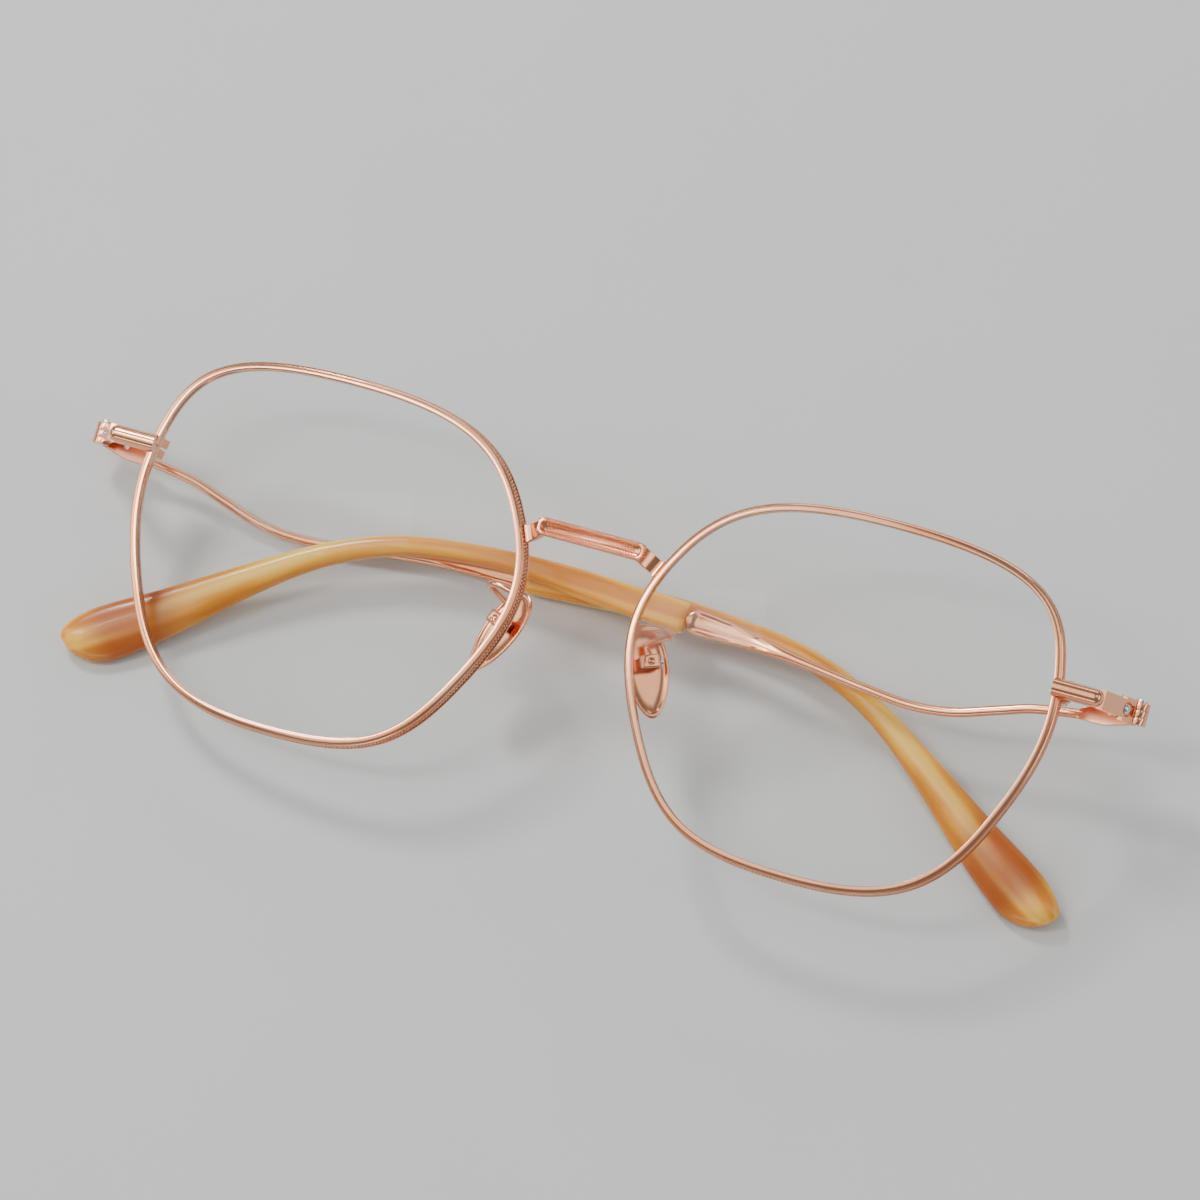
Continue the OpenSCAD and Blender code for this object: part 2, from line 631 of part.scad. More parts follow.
module pad_stud(side) {
    color(rose_gold) on_pad(side) translate([-stud_w / 2, stud_up, seat_gap]) difference() {
        union() {
            translate([0, -stud_r, 0]) cube([stud_w, 2 * stud_r, screw_rise]);
            translate([0, 0, screw_rise]) rotate([0, 90, 0])
                cylinder(r = stud_r, h = stud_w, $fn = round_fn);
        }
        translate([-stud_w, 0, screw_rise]) rotate([0, 90, 0])
            cylinder(d = pad_screw_d + 2 * shank_gap, h = 3 * stud_w, $fn = round_fn);
    }
}

// The box is open towards the pad, with a wall at each end of the screw
module pad_box(side) {
    inner_w = pad_box_w - 2 * box_wall;
    color(rose_gold) on_pad(side) translate([0, stud_up, seat_gap]) difference() {
        translate([-pad_box_w / 2, -pad_box_h / 2, box_top])
            cube([pad_box_w, pad_box_h, box_floor + box_wall - box_top]);
        translate([-inner_w / 2, -pad_box_h, 0]) cube([inner_w, 2 * pad_box_h, box_floor]);
        translate([0, 0, box_floor + box_wall + dimple_r - dimple_deep]) sphere(r = dimple_r, $fn = round_fn);
        translate([-pad_box_w, 0, screw_rise]) rotate([0, 90, 0])
            cylinder(d = pad_screw_d + 2 * shank_gap, h = 2 * pad_box_w, $fn = round_fn);
    }
}

module pad_screw(side) {
    reach = pad_box_w / 2;
    color(steel) on_pad(side) translate([0, stud_up, seat_gap + screw_rise]) rotate([0, 90, 0]) {
        translate([0, 0, -reach])
            cylinder(d = pad_screw_d, h = 2 * reach + 2 * flat_gap, $fn = round_fn);
        translate([0, 0, reach + flat_gap])
            cylinder(d = pad_screw_d + head_over, h = head_h, $fn = round_fn);
    }
}

// The arm's wire swings out from the rim, bends back on itself and ends on top of the box
arm_path = concat([for (p = [[0, 0, 0], [1.2, 0.4, 0], [2.5, 0.7, -0.1], [3.6, 0.8, -0.4],
    [4.2, 0.6, -1], [4, 0.3, -1.8]]) arm_root + p],
    [for (y = [1.2, 0]) pad_point([0, stud_up + pad_box_h / 2 + seat_gap + y, seat_gap + 1.6])]);

// A smooth curve through the points of a path
function on_path(path, t) = let (n = len(path) - 1, i = min(floor(t), n - 1), f = t - i,
    b = path[i], c = path[i + 1], a = i > 0 ? path[i - 1] : 2 * b - c,
    d = i < n - 1 ? path[i + 2] : 2 * c - b)
    0.5 * (2 * b + (c - a) * f + (2 * a - 5 * b + 4 * c - d) * f * f
    + (3 * b - a - 3 * c + d) * f * f * f);

module pad_arm(side) {
    last = len(arm_path) - 1;
    color(rose_gold) on_side(side) skin([for (i = [0:3 * last])
        let (t = i / 3, d = unit(on_path(arm_path, min(t + 0.02, last))
        - on_path(arm_path, max(t - 0.02, 0))), u = unit(cross(d, [0.1, 1, 0.2])), v = cross(d, u))
        [for (q = oval(arm_d, arm_d, 2, 10)) on_path(arm_path, t) + q[0] * u + q[1] * v]]);
}

rim(RIGHT);  // rim_right
rim(LEFT);  // rim_left
lens(RIGHT);  // lens_right
lens(LEFT);  // lens_left
bridge();
end_piece(RIGHT);  // end_piece_right
end_piece(LEFT);  // end_piece_left
closing_block(RIGHT);  // closing_block_right
closing_block(LEFT);  // closing_block_left
rim_screw(RIGHT);  // rim_screw_right
rim_screw(LEFT);  // rim_screw_left
hinge_block(RIGHT);  // hinge_block_right
hinge_block(LEFT);  // hinge_block_left
block_screw(RIGHT);  // block_screw_right
block_screw(LEFT);  // block_screw_left
temple_hinge(RIGHT);  // temple_hinge_right
temple_hinge(LEFT);  // temple_hinge_left
hinge_screw(RIGHT);  // hinge_screw_right
hinge_screw(LEFT);  // hinge_screw_left
temple_wire(RIGHT);  // temple_wire_right
temple_wire(LEFT);  // temple_wire_left
temple_tip(RIGHT);  // temple_tip_right
temple_tip(LEFT);  // temple_tip_left
pad_arm(RIGHT);  // pad_arm_right
pad_arm(LEFT);  // pad_arm_left
pad_box(RIGHT);  // pad_box_right
pad_box(LEFT);  // pad_box_left
pad_stud(RIGHT);  // pad_stud_right
pad_stud(LEFT);  // pad_stud_left
pad_screw(RIGHT);  // pad_screw_right
pad_screw(LEFT);  // pad_screw_left
nose_pad(RIGHT);  // nose_pad_right
nose_pad(LEFT);  // nose_pad_left
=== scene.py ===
# %% [markdown]
# # Wire eyeglasses with six-sided rims
#
# A folded pair of rose-gold wire glasses with honey-coloured tips, lying on its temples with the
# lenses up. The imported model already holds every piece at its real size. This lesson gives each
# piece the finish and the fine detail that a camera would see from half a metre away.

# %% Load the pieces
import json
import math

import bmesh
import bpy
from mathutils import Euler, Matrix, Vector, noise

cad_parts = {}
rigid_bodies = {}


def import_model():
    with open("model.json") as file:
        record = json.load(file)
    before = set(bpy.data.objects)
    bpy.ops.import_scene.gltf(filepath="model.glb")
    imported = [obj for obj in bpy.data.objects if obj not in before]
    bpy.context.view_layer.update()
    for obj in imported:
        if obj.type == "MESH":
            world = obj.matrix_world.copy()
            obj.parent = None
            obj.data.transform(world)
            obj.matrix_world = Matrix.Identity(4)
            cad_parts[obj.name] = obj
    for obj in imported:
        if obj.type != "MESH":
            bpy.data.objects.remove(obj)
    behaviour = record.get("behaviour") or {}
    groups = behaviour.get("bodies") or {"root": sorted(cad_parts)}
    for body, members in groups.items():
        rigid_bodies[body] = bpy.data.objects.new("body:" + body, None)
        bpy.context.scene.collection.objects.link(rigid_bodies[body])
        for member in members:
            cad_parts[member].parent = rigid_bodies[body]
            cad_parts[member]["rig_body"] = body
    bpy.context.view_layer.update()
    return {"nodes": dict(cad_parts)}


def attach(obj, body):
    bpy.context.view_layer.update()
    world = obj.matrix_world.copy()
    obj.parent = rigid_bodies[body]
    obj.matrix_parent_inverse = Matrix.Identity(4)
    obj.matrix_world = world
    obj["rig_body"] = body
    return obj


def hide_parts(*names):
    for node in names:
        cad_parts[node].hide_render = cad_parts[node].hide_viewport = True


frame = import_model()
print("pieces loaded:", len(frame["nodes"]))

# %% [markdown]
# ## Two frames of reference
#
# Glasses are easiest to draw square to the face: X runs across it to the wearer's left, Y runs up
# it and Z comes out of the lenses, in millimetres. The folded pair lies tilted on the table. So
# every new shape is drawn square, and one matrix then lays it down in metres.

# %% The lean of the folded pair
MM = 0.001
LEAN_DEGREES = (14.7, -3.3, 0)
STAND = Vector((-0.5, -0.62, 17.14))
LEAN = Euler([math.radians(a) for a in LEAN_DEGREES]).to_matrix().to_4x4()
LIE = Matrix.Scale(MM, 4) @ Matrix.Translation(STAND) @ LEAN
RIGHT, LEFT = -1, 1
SIDES = {"right": RIGHT, "left": LEFT}


def flip(side):
    """Turns a shape for the wearer's left side into one for that side."""
    return Matrix.Diagonal((side, 1, 1, 1))


print("the pair leans by", LEAN_DEGREES, "degrees")

# %% [markdown]
# ## The camera
#
# The camera looks down at the pair from over half a metre, through a long lens, so the two rims
# are nearly the same size in the picture. Its place and turn are given in the glasses' own frame.

# %% Camera
VIEW_FROM = Vector((153.5, -33.8, 587))
VIEW_TURN = Euler([math.radians(a) for a in (7.47, 12.82, 16.53)])
FOCAL_PIXELS, PICTURE_PIXELS = 5099, 1200
SENSOR = 36
camera = bpy.data.objects.new("camera", bpy.data.cameras.new("camera"))
camera.data.sensor_width = SENSOR
camera.data.lens = SENSOR * FOCAL_PIXELS / PICTURE_PIXELS
camera.data.clip_start = 0.05
turned = LEAN.to_3x3() @ VIEW_TURN.to_matrix()
camera.matrix_world = Matrix.Translation(LIE @ VIEW_FROM) @ turned.to_4x4()
bpy.context.scene.collection.objects.link(camera)
bpy.context.scene.camera = camera
print("camera height over the table: %.2f m" % camera.location.z)

# %% [markdown]
# ## Shader maths as plain sums
#
# A finish is easier to read as a sum than as a web of nodes. A Wire wraps one socket of a node
# tree and turns the usual operators into Math nodes. Every other node comes from its one method,
# which takes the node's type, its settings and what its sockets get.

# %% A wire that can be used in sums


class Wire:
    """One output of a node tree, or the bare tree before it has one."""

    def __init__(self, tree, socket=None):
        self.tree = tree
        self.socket = socket

    def node(self, kind, settings=None, sockets=None, out=0):
        """Adds a node, sets it up, feeds its sockets with values or wires, gives one output."""
        made = self.tree.nodes.new(kind)
        for name, value in (settings or {}).items():
            if name == "stops":
                while len(made.color_ramp.elements) < len(value):
                    made.color_ramp.elements.new(0.5)
                for stop, (at, colour) in zip(made.color_ramp.elements, value):
                    stop.position = at
                    stop.color = (*colour, 1)
            else:
                setattr(made, name, value)
        for name, value in (sockets or {}).items():
            if isinstance(value, Wire):
                self.tree.links.new(value.socket, made.inputs[name])
            else:
                made.inputs[name].default_value = value
        return Wire(self.tree, made.outputs[out] if made.outputs else None)

    def sum(self, operation, a, b):
        """A Math node with two terms."""
        return self.node("ShaderNodeMath", {"operation": operation}, {0: a, 1: b})

    def __add__(self, other):
        return self.sum("ADD", self, other)

    def __sub__(self, other):
        return self.sum("SUBTRACT", self, other)

    def __rsub__(self, other):
        return self.sum("SUBTRACT", other, self)

    def __mul__(self, other):
        return self.sum("MULTIPLY", self, other)

    __radd__ = __add__
    __rmul__ = __mul__


# %% [markdown]
# ## A few helpers for finishes
#
# Every finish starts from an empty material and ends in one surface. In between it needs three
# things again and again: cloudy noise, a soft step from 0 to 1, and a colour between two others.
# Colours go through Mix nodes, because a Math node would turn them grey. A Mix node gives its
# sockets for colours the same names as those for numbers, so here they go by their place in the
# node's list.

# %% Helpers for finishes
SPECKLE_ROUGHNESS = 0.55
MIX_A, MIX_B, MIX_RESULT = 6, 7, 2


def finish(name):
    """A new material, and its bare tree as a wire."""
    material = bpy.data.materials.new(name)
    material.use_nodes = True
    material.node_tree.nodes.clear()
    return material, Wire(material.node_tree)


def surface(bare, sockets):
    """A Principled surface with the given sockets, joined to the output."""
    gloss = bare.node("ShaderNodeBsdfPrincipled", None, sockets)
    bare.node("ShaderNodeOutputMaterial", None, {"Surface": gloss})


def own_place(bare):
    """Where a point lies in its own piece, in metres."""
    return bare.node("ShaderNodeTexCoord", None, None, "Object")


def speckle(place, scale, detail=3.0):
    """Cloudy noise around 0.5. The scale is in waves for each metre."""
    return place.node("ShaderNodeTexNoise", None,
                      {"Vector": place, "Scale": scale, "Detail": detail,
                       "Roughness": SPECKLE_ROUGHNESS})


def ramp(wire, low, high):
    """Goes softly from 0 to 1 as the wire goes from low to high."""
    return wire.node("ShaderNodeMapRange", {"interpolation_type": "SMOOTHSTEP"},
                     {"Value": wire, "From Min": low, "From Max": high})


def fade(share, a, b):
    """A colour that goes from a to b as the share goes from 0 to 1."""
    ends = {socket: colour if isinstance(colour, Wire) else (*colour, 1)
            for socket, colour in ((MIX_A, a), (MIX_B, b))}
    return share.node("ShaderNodeMix", {"data_type": "RGBA", "clamp_factor": True},
                      {0: share, **ends}, MIX_RESULT)


# %% [markdown]
# ## Rose gold
#
# The frame is bright plated metal. Real plating is never one flat mirror: fine polishing marks
# and a faint cloudiness spread the highlights, and its copper shows a little warmer where
# the layer is thick. The marks are under half a millimetre apart, and the clouds are about a
# centimetre wide.

# %% Rose gold finish
PALE_COPPER = (0.955, 0.46, 0.27)
WARM_COPPER = (0.90, 0.37, 0.19)
CLOUD_WAVES, POLISH_WAVES = 90.0, 2600.0
CLOUD_CHANGE, POLISH_CHANGE = 0.07, 0.05
POLISH_DEPTH = 0.00002
BRIGHT, DULL = 0.18, 0.28
FAINT_MARKS, CLEAR_MARKS = 0.03, 0.06


def rose_gold(name, pale, warm, roughness, marks):
    """Copper plating between two colours, with polishing marks of the given strength."""
    material, bare = finish(name)
    place = own_place(bare)
    cloud = speckle(place, CLOUD_WAVES)
    polish = speckle(place, POLISH_WAVES, detail=2.0)
    uneven = roughness + (cloud - 0.5) * CLOUD_CHANGE + (polish - 0.5) * POLISH_CHANGE
    bump = polish.node("ShaderNodeBump", None,
                       {"Strength": marks, "Distance": POLISH_DEPTH, "Height": polish})
    surface(bare, {"Base Color": fade(ramp(cloud, 0.35, 0.7), pale, warm), "Metallic": 1.0,
                   "Roughness": uneven, "Normal": bump})
    print(name, "roughness about", roughness)
    return material


PLATED = rose_gold("rose_gold", PALE_COPPER, WARM_COPPER, BRIGHT, FAINT_MARKS)
BEADED = rose_gold("rose_gold_beading", PALE_COPPER, WARM_COPPER, BRIGHT, CLEAR_MARKS)

# %% [markdown]
# ## Painted shade in the recesses
#
# Round the beads and in the sunk faces, darker copper paints the shade that falls there, and the
# plating is a little rougher. It is the same finish with deeper colours, used on the strips of
# faces behind the beads.

# %% Painted shade finish
# The two deeper coppers are painted shade for the channel behind the beads.
PAINTED_SHADE_COPPER = (0.55, 0.22, 0.13)
DEEPER_PAINTED_SHADE_COPPER = (0.38, 0.13, 0.07)
PAINTED_SHADE = rose_gold("rose_gold_painted_shade", PAINTED_SHADE_COPPER, DEEPER_PAINTED_SHADE_COPPER, DULL, CLEAR_MARKS)

# %% [markdown]
# ## Steel screws
#
# The screws are bright turned steel, a cool grey against the copper. Their fine turning marks
# are too small to see as lines and only make the shine uneven.

# %% Steel finish
DARK_STEEL = (0.72, 0.73, 0.75)
PALE_STEEL = (0.84, 0.84, 0.85)
TURNING_WAVES = 1800.0


def bright_steel():
    material, bare = finish("screw_steel")
    turning = speckle(own_place(bare), TURNING_WAVES, detail=2.0)
    surface(bare, {"Base Color": fade(turning, DARK_STEEL, PALE_STEEL),
                   "Metallic": 1.0, "Roughness": 0.12 + turning * 0.1})
    return material


STEEL = bright_steel()
print("steel nodes:", len(STEEL.node_tree.nodes))

# %% [markdown]
# ## Clear lenses
#
# A demonstration lens is thin and clear and bends the view too little to see. A glass shader would
# only slow the picture down, so the lens lets light straight through and mixes in a faint mirror
# at a slant, which is what gives a real lens away.

# %% Lens finish
THROUGH_TINT = (0.985, 0.992, 0.99, 1)
MIRROR_TINT = (0.9, 0.95, 0.95, 1)
MIRROR_SHARE = 0.12
LENS_IOR = 1.3
SMEAR_WAVES = 60.0


def clear_lens():
    material, bare = finish("clear_lens")
    smear = speckle(own_place(bare), SMEAR_WAVES)
    slant = bare.node("ShaderNodeFresnel", None, {"IOR": LENS_IOR})
    through = bare.node("ShaderNodeBsdfTransparent", None, {"Color": THROUGH_TINT})
    mirror = bare.node("ShaderNodeBsdfPrincipled", None,
                       {"Base Color": MIRROR_TINT, "Metallic": 1.0,
                        "Roughness": 0.03 + smear * 0.04})
    both = bare.node("ShaderNodeMixShader", None,
                     {0: slant * MIRROR_SHARE, 1: through, 2: mirror})
    bare.node("ShaderNodeOutputMaterial", None, {"Surface": both})
    return material


CLEAR = clear_lens()
print("lens nodes:", len(CLEAR.node_tree.nodes))

# %% [markdown]
# ## New meshes from rings
#
# Most pieces here are drawn wire or moulded bars. Their section changes slowly along a line, so
# each is a loft: a list of rings with the same number of points, joined side by side.

# %% Loft
SHARP = 40


def join_rings(made, rows, painted_shade_strips=()):
    """Faces between neighbouring rings. The strips given last take the painted-shade material."""
    for a, b in zip(rows, rows[1:]):
        for i in range(len(a)):
            j = (i + 1) % len(a)
            face = made.faces.new((a[i], a[j], b[j], b[i]))
            face.material_index = 1 if i in painted_shade_strips else 0


def loft(name, rings, side, material, body, replaced, sharp=SHARP, painted_shade_strips=()):
    """Joins rings of points, drawn square in millimetres, into one smooth mesh.

    The strips of faces named last take the darker finish, which is painted shade."""
    matrix = LIE @ flip(side)
    made = bmesh.new()
    rows = [[made.verts.new(matrix @ Vector(p)) for p in ring] for ring in rings]
    join_rings(made, rows, painted_shade_strips)
    made.faces.new(reversed(rows[0]))
    made.faces.new(rows[-1])
    piece = placed(name, made, material, body, replaced, sharp)
    # The second material's darker copper is painted shade.
    if painted_shade_strips:
        piece.data.materials.append(PAINTED_SHADE)
    return piece


def placed(name, made, material, body, replaced, sharp):
    """Turns a bmesh into a piece that rides on a body and stands for the given node, if any.

    Edges stay sharp where the faces turn by more than that many degrees."""
    bmesh.ops.recalc_face_normals(made, faces=made.faces)
    for face in made.faces:
        face.smooth = True
    for edge in made.edges:
        edge.smooth = edge.calc_face_angle(0) < math.radians(sharp)
    mesh = bpy.data.meshes.new(name)
    made.to_mesh(mesh)
    made.free()
    mesh.materials.append(material)
    piece = bpy.data.objects.new(name, mesh)
    bpy.context.scene.collection.objects.link(piece)
    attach(piece, body)
    if replaced:
        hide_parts(replaced)
    print(name, "has", len(mesh.polygons), "faces and rides on", body)
    return piece


def ease(share):
    """A soft step from 0 to 1."""
    share = min(max(share, 0), 1)
    return share * share * (3 - 2 * share)


print("unless told otherwise, edges over", SHARP, "degrees stay sharp")

# %% [markdown]
# ## The lens shape
#
# The shape is a hexagon with rounded corners and slightly bowed sides. Each corner has a place and
# a pull: the curve runs from the middle of one side to the middle of the next, drawn
# towards the corner between them. It is then stretched to the lens's real width and height.
# A place on it is counted in corners: whole numbers are the middles of the sides.

# %% The lens shape
LENS_W, LENS_H = 51, 43.8
NOSE_GAP = 15.2
BASE_RADIUS = 112
FACE_FORM = math.radians(3.8)
CORNERS = [(21, 22, 0.75), (-16.5, 22, 0.75), (-27.5, 2, 0.75), (-15, -22.5, 0.8),
           (15.5, -22.5, 0.75), (26, 2, 0.75)]
ROUND = len(CORNERS)
OUTLINE_STEPS = 100
NEARBY = 0.01
HALVINGS = 24


def corner(i):
    x, y, pull = CORNERS[i % ROUND]
    return Vector((x, y)), pull


def drawn(t):
    """A point of the hexagon's curve, before it is stretched."""
    i = math.floor(t)
    f = t - i
    g = 1 - f
    here, pull = corner(i)
    a = (corner(i - 1)[0] + here) / 2
    b = (here + corner(i + 1)[0]) / 2
    near_a, near_b = a.lerp(here, pull), b.lerp(here, pull)
    return g**3 * a + 3 * f * g * g * near_a + 3 * f * f * g * near_b + f**3 * b


OUTLINE = [drawn(k / OUTLINE_STEPS) for k in range(OUTLINE_STEPS * ROUND)]
LOW = Vector((min(p.x for p in OUTLINE), min(p.y for p in OUTLINE)))
HIGH = Vector((max(p.x for p in OUTLINE), max(p.y for p in OUTLINE)))


def shape(t):
    """A point of the lens's outline, from the middle of the lens."""
    p = drawn(t) - (LOW + HIGH) / 2
    return Vector((p.x * LENS_W / (HIGH.x - LOW.x), p.y * LENS_H / (HIGH.y - LOW.y)))


def along(t):
    return (shape(t + NEARBY) - shape(t - NEARBY)).normalized()


def rim_point(t, out, forward):
    """A point by the rim: out from the middle of its wire, and forward of the lens plane."""
    d = along(t)
    q = shape(t) + out * Vector((d.y, -d.x))
    z = math.sqrt(BASE_RADIUS**2 - q.length_squared) - BASE_RADIUS + forward
    x = q.x * math.cos(FACE_FORM) + z * math.sin(FACE_FORM) + (NOSE_GAP + LENS_W) / 2
    return Vector((x, q.y, z * math.cos(FACE_FORM) - q.x * math.sin(FACE_FORM)))


def place_at(y, low, high):
    """Where on the shape a height is met, between two places below and above it."""
    for _ in range(HALVINGS):
        middle = (low + high) / 2
        if shape(middle).y < y:
            low = middle
        else:
            high = middle
    return middle


HINGE_Y, BRIDGE_Y, ARM_Y = 8.3, 9.1, 1.8
SLIT_AT = place_at(HINGE_Y, -0.6, 0.6)
NOSE_AT = place_at(BRIDGE_Y, 2.4, 1.2)
ARM_AT = place_at(ARM_Y, 3.2, 1.6)
print("the slit, the bridge and the pad arm meet the rim at", SLIT_AT, NOSE_AT, ARM_AT)

# %% [markdown]
# ## Rims
#
# The rim is drawn wire with a barely domed front, a groove inside for the lens and a channel round
# the outside that is filled with milgrain, which is rows of tiny raised beads. The section is
# swept round the shape, a little stepped at the channel's lips so that they catch a thin line of
# light. The wire is cut by a slit behind the end piece, where the lens is put in.

# %% Rims
RIM_W, RIM_D = 1.13, 1.78
HALF_W, HALF_D = RIM_W / 2, RIM_D / 2
GROOVE, HALF_GROOVE = 0.36, 0.42
CHANNEL = 0.14
CHANNEL_SHALLOW = 0.6 * CHANNEL
FRONT_SLANT, BACK_SLANT = 0.06, 0.08
BEVEL = 0.12
BEVEL_MIDDLE = 0.3 * BEVEL
CROWN = 0.06
CROWN_AT = [(-0.24, 0.25), (0, 0), (0.16, 0.3)]
WALL_SLOPE = 0.13
LIP_FRONT, LIP_BACK = 0.2, 0.32
RIM_STEPS = 360
SLIT = 0.004


def wall(forward):
    """The outer wall, which leans in a little towards the front."""
    return HALF_W - WALL_SLOPE * (forward + HALF_D)


def rim_section():
    """Points round the wire's section, each out from its middle and forward.

    With them comes which of the strips between them are the channel's."""
    lip, back_lip = HALF_D - LIP_FRONT, LIP_BACK - HALF_D
    shoulder, edge, turn = HALF_D - CROWN, wall(HALF_D), BEVEL_MIDDLE
    inside = [(GROOVE - HALF_W, 0), (-HALF_W, HALF_GROOVE), (-HALF_W, HALF_D - BEVEL),
              (turn - HALF_W, shoulder - turn)]
    front = [(BEVEL - HALF_W, shoulder)]
    front += [(out, HALF_D - share * CROWN) for out, share in CROWN_AT]
    front += [(edge - BEVEL, shoulder)]
    outside = [(edge - turn, shoulder - turn), (edge, shoulder - BEVEL), (wall(lip), lip)]
    channel = [(wall(lip) - CHANNEL_SHALLOW, lip - FRONT_SLANT),
               (wall(back_lip) - CHANNEL, back_lip + BACK_SLANT), (wall(back_lip), back_lip)]
    back = [(HALF_W, BEVEL - HALF_D), (HALF_W - turn, turn - HALF_D), (HALF_W - BEVEL, -HALF_D),
            (BEVEL - HALF_W, -HALF_D), (turn - HALF_W, turn - HALF_D),
            (-HALF_W, BEVEL - HALF_D), (-HALF_W, -HALF_GROOVE)]
    before = len(inside) + len(front) + len(outside) - 1
    return inside + front + outside + channel + back, range(before, before + len(channel))


RIM_SECTION, CHANNEL_STRIPS = rim_section()


def rim(side_name):
    turns = [SLIT_AT + SLIT + (ROUND - 2 * SLIT) * k / RIM_STEPS for k in range(RIM_STEPS + 1)]
    rings = [[rim_point(t, *p) for p in RIM_SECTION] for t in turns]
    # The channel's strips take the darker copper of painted shade.
    return loft(f"rim_wire_{side_name}", rings, SIDES[side_name], PLATED, "front",
                f"rim_{side_name}", sharp=24, painted_shade_strips=CHANNEL_STRIPS)


for side_name in SIDES:
    rim(side_name)

# %% [markdown]
# ## Milgrain
#
# A knurled wheel rolled along the wire leaves rows of beads. Each bead is a low dome of a few
# faces, and all the beads of one rim form one mesh. The pitch is set in millimetres along the
# wire, so it doesn't change where the shape curves. The beads' sizes differ a little, because a
# worn wheel never presses quite evenly.

# %% Beads
DOME_RINGS = [(-0.3, 1.0), (0.35, 0.85), (0.8, 0.45)]
DOME_POINTS = 7
BEAD_SHARE, BEAD_CHANGE, BEAD_WAVES = 0.94, 0.12, 3


def domes(name, places, radius, side, rise=0.8):
    """One mesh of low domes. Each place is a point, the way out and the way along."""
    matrix = LIE @ flip(side)
    made = bmesh.new()
    for centre, out, line in places:
        across = out.cross(line).normalized()
        size = radius * (BEAD_SHARE + BEAD_CHANGE * noise.noise(centre * BEAD_WAVES))
        rings = []
        for height, spread in DOME_RINGS:
            ring = []
            for k in range(DOME_POINTS):
                a = 2 * math.pi * k / DOME_POINTS
                p = centre + size * (spread * math.cos(a) * line + spread * math.sin(a) * across
                                     + height * rise * out)
                ring.append(made.verts.new(matrix @ p))
            rings.append(ring)
        top = made.verts.new(matrix @ (centre + size * rise * out))
        join_rings(made, rings)
        for k in range(DOME_POINTS):
            made.faces.new((rings[-1][k], rings[-1][(k + 1) % DOME_POINTS], top))
        made.faces.new(reversed(rings[0]))
    placed(name, made, BEADED, "front", None, sharp=80)


BEAD_R, BEAD_PITCH = 0.205, 0.46
BEAD_ROWS = (0.33, -0.12)
BEAD_SEAT = 0.65 * CHANNEL
BEAD_SHIFT = 0.01
BARE = 0.03
FINE_STEPS = 3000


def even_turns(pitch, out):
    """Places round the rim that are evenly spaced along its wire, bare by the slit."""
    fine = [SLIT_AT + BARE + (ROUND - 2 * BARE) * k / FINE_STEPS for k in range(FINE_STEPS + 1)]
    points = [rim_point(t, out, 0) for t in fine]
    walked, turns = 0, []
    for t, a, b in zip(fine, points, points[1:]):
        walked += (b - a).length
        if walked >= pitch:
            walked -= pitch
            turns.append(t)
    return turns


def rim_ways(t):
    """The way out of the rim and the way along it."""
    out = (rim_point(t, 1, 0) - rim_point(t, 0, 0)).normalized()
    line = (rim_point(t + NEARBY, 0, 0) - rim_point(t - NEARBY, 0, 0)).normalized()
    return out, line


for side_name, side in SIDES.items():
    places = []
    for row, forward in enumerate(BEAD_ROWS):
        for t in even_turns(BEAD_PITCH, HALF_W):
            shifted = t + row * BEAD_SHIFT
            seat = rim_point(shifted, wall(forward) - BEAD_SEAT, forward)
            places.append((seat, *rim_ways(shifted)))
    domes(f"rim_milgrain_{side_name}", places, BEAD_R, side)
    print("beads on the", side_name, "rim:", len(places))

# %% [markdown]
# ## Bridge
#
# The bar is a small casting: a rounded bar with a long panel sunk into its front and a raised
# bead round the panel. It is a loft too, but its rings are outlines that step inwards: the
# bar's edge, then the bead, then the panel's floor.

# %% Bridge bar
BAR_L, BAR_H, BAR_T = 13.6, 2.1, 1.2
BAR_AT = Vector((0, 10.6, 0.4))
HALF_BAR, HALF_T = (BAR_L - BAR_H) / 2, BAR_T / 2
PANEL_REACH, PANEL_R = HALF_BAR - 0.1, BAR_H / 2 - 0.4
PANEL_DEEP = 0.3
BAR_POINTS = 64
# For each ring of the bar: how far it steps in, its height and how square it is.
BAR_RINGS = [(0.16, -HALF_T, 5), (0.04, 0.05 - HALF_T, 5), (0, 0.16 - HALF_T, 5),
             (0, HALF_T - 0.2, 5), (0.04, HALF_T - 0.07, 5), (0.16, HALF_T, 4.5)]
# For each ring of the bead and the panel: how far it steps out, and its height over the front.
PANEL_RINGS = [(0.17, -0.03), (0.13, 0.07), (0.07, 0.1), (0.01, 0.06), (-0.03, -0.05),
               (-0.05, -0.26), (-0.1, -PANEL_DEEP)]


def oval(width, height, power, count):
    """A rounded outline: power 2 is an oval, and more is squarer."""
    outline = []
    for k in range(count):
        a = 2 * math.pi * (k + 0.5) / count
        c, s = math.cos(a), math.sin(a)
        outline.append((width / 2 * math.copysign(abs(c) ** (2 / power), c),
                        height / 2 * math.copysign(abs(s) ** (2 / power), s)))
    return outline


def bar_ring(reach, radius, z, power=2):
    """An oval that is cut in half and drawn apart, so that its ends are joined by straights."""
    return [BAR_AT + Vector((x + math.copysign(reach, x), y, z))
            for x, y in oval(2 * radius, 2 * radius, power, BAR_POINTS)]


bar = [bar_ring(HALF_BAR, BAR_H / 2 - step, z, power) for step, z, power in BAR_RINGS]
bar += [bar_ring(PANEL_REACH, PANEL_R + step, HALF_T + over) for step, over in PANEL_RINGS]
loft("bridge_bar", bar, LEFT, PLATED, "front", "bridge", sharp=50)

# %% [markdown]
# ## Bridge legs
#
# A thin strip of metal runs down from behind each end of the bar and is soldered to the rim, where
# it turns to lie flat on the wire. It is lofted along a curve, and its section turns with it.

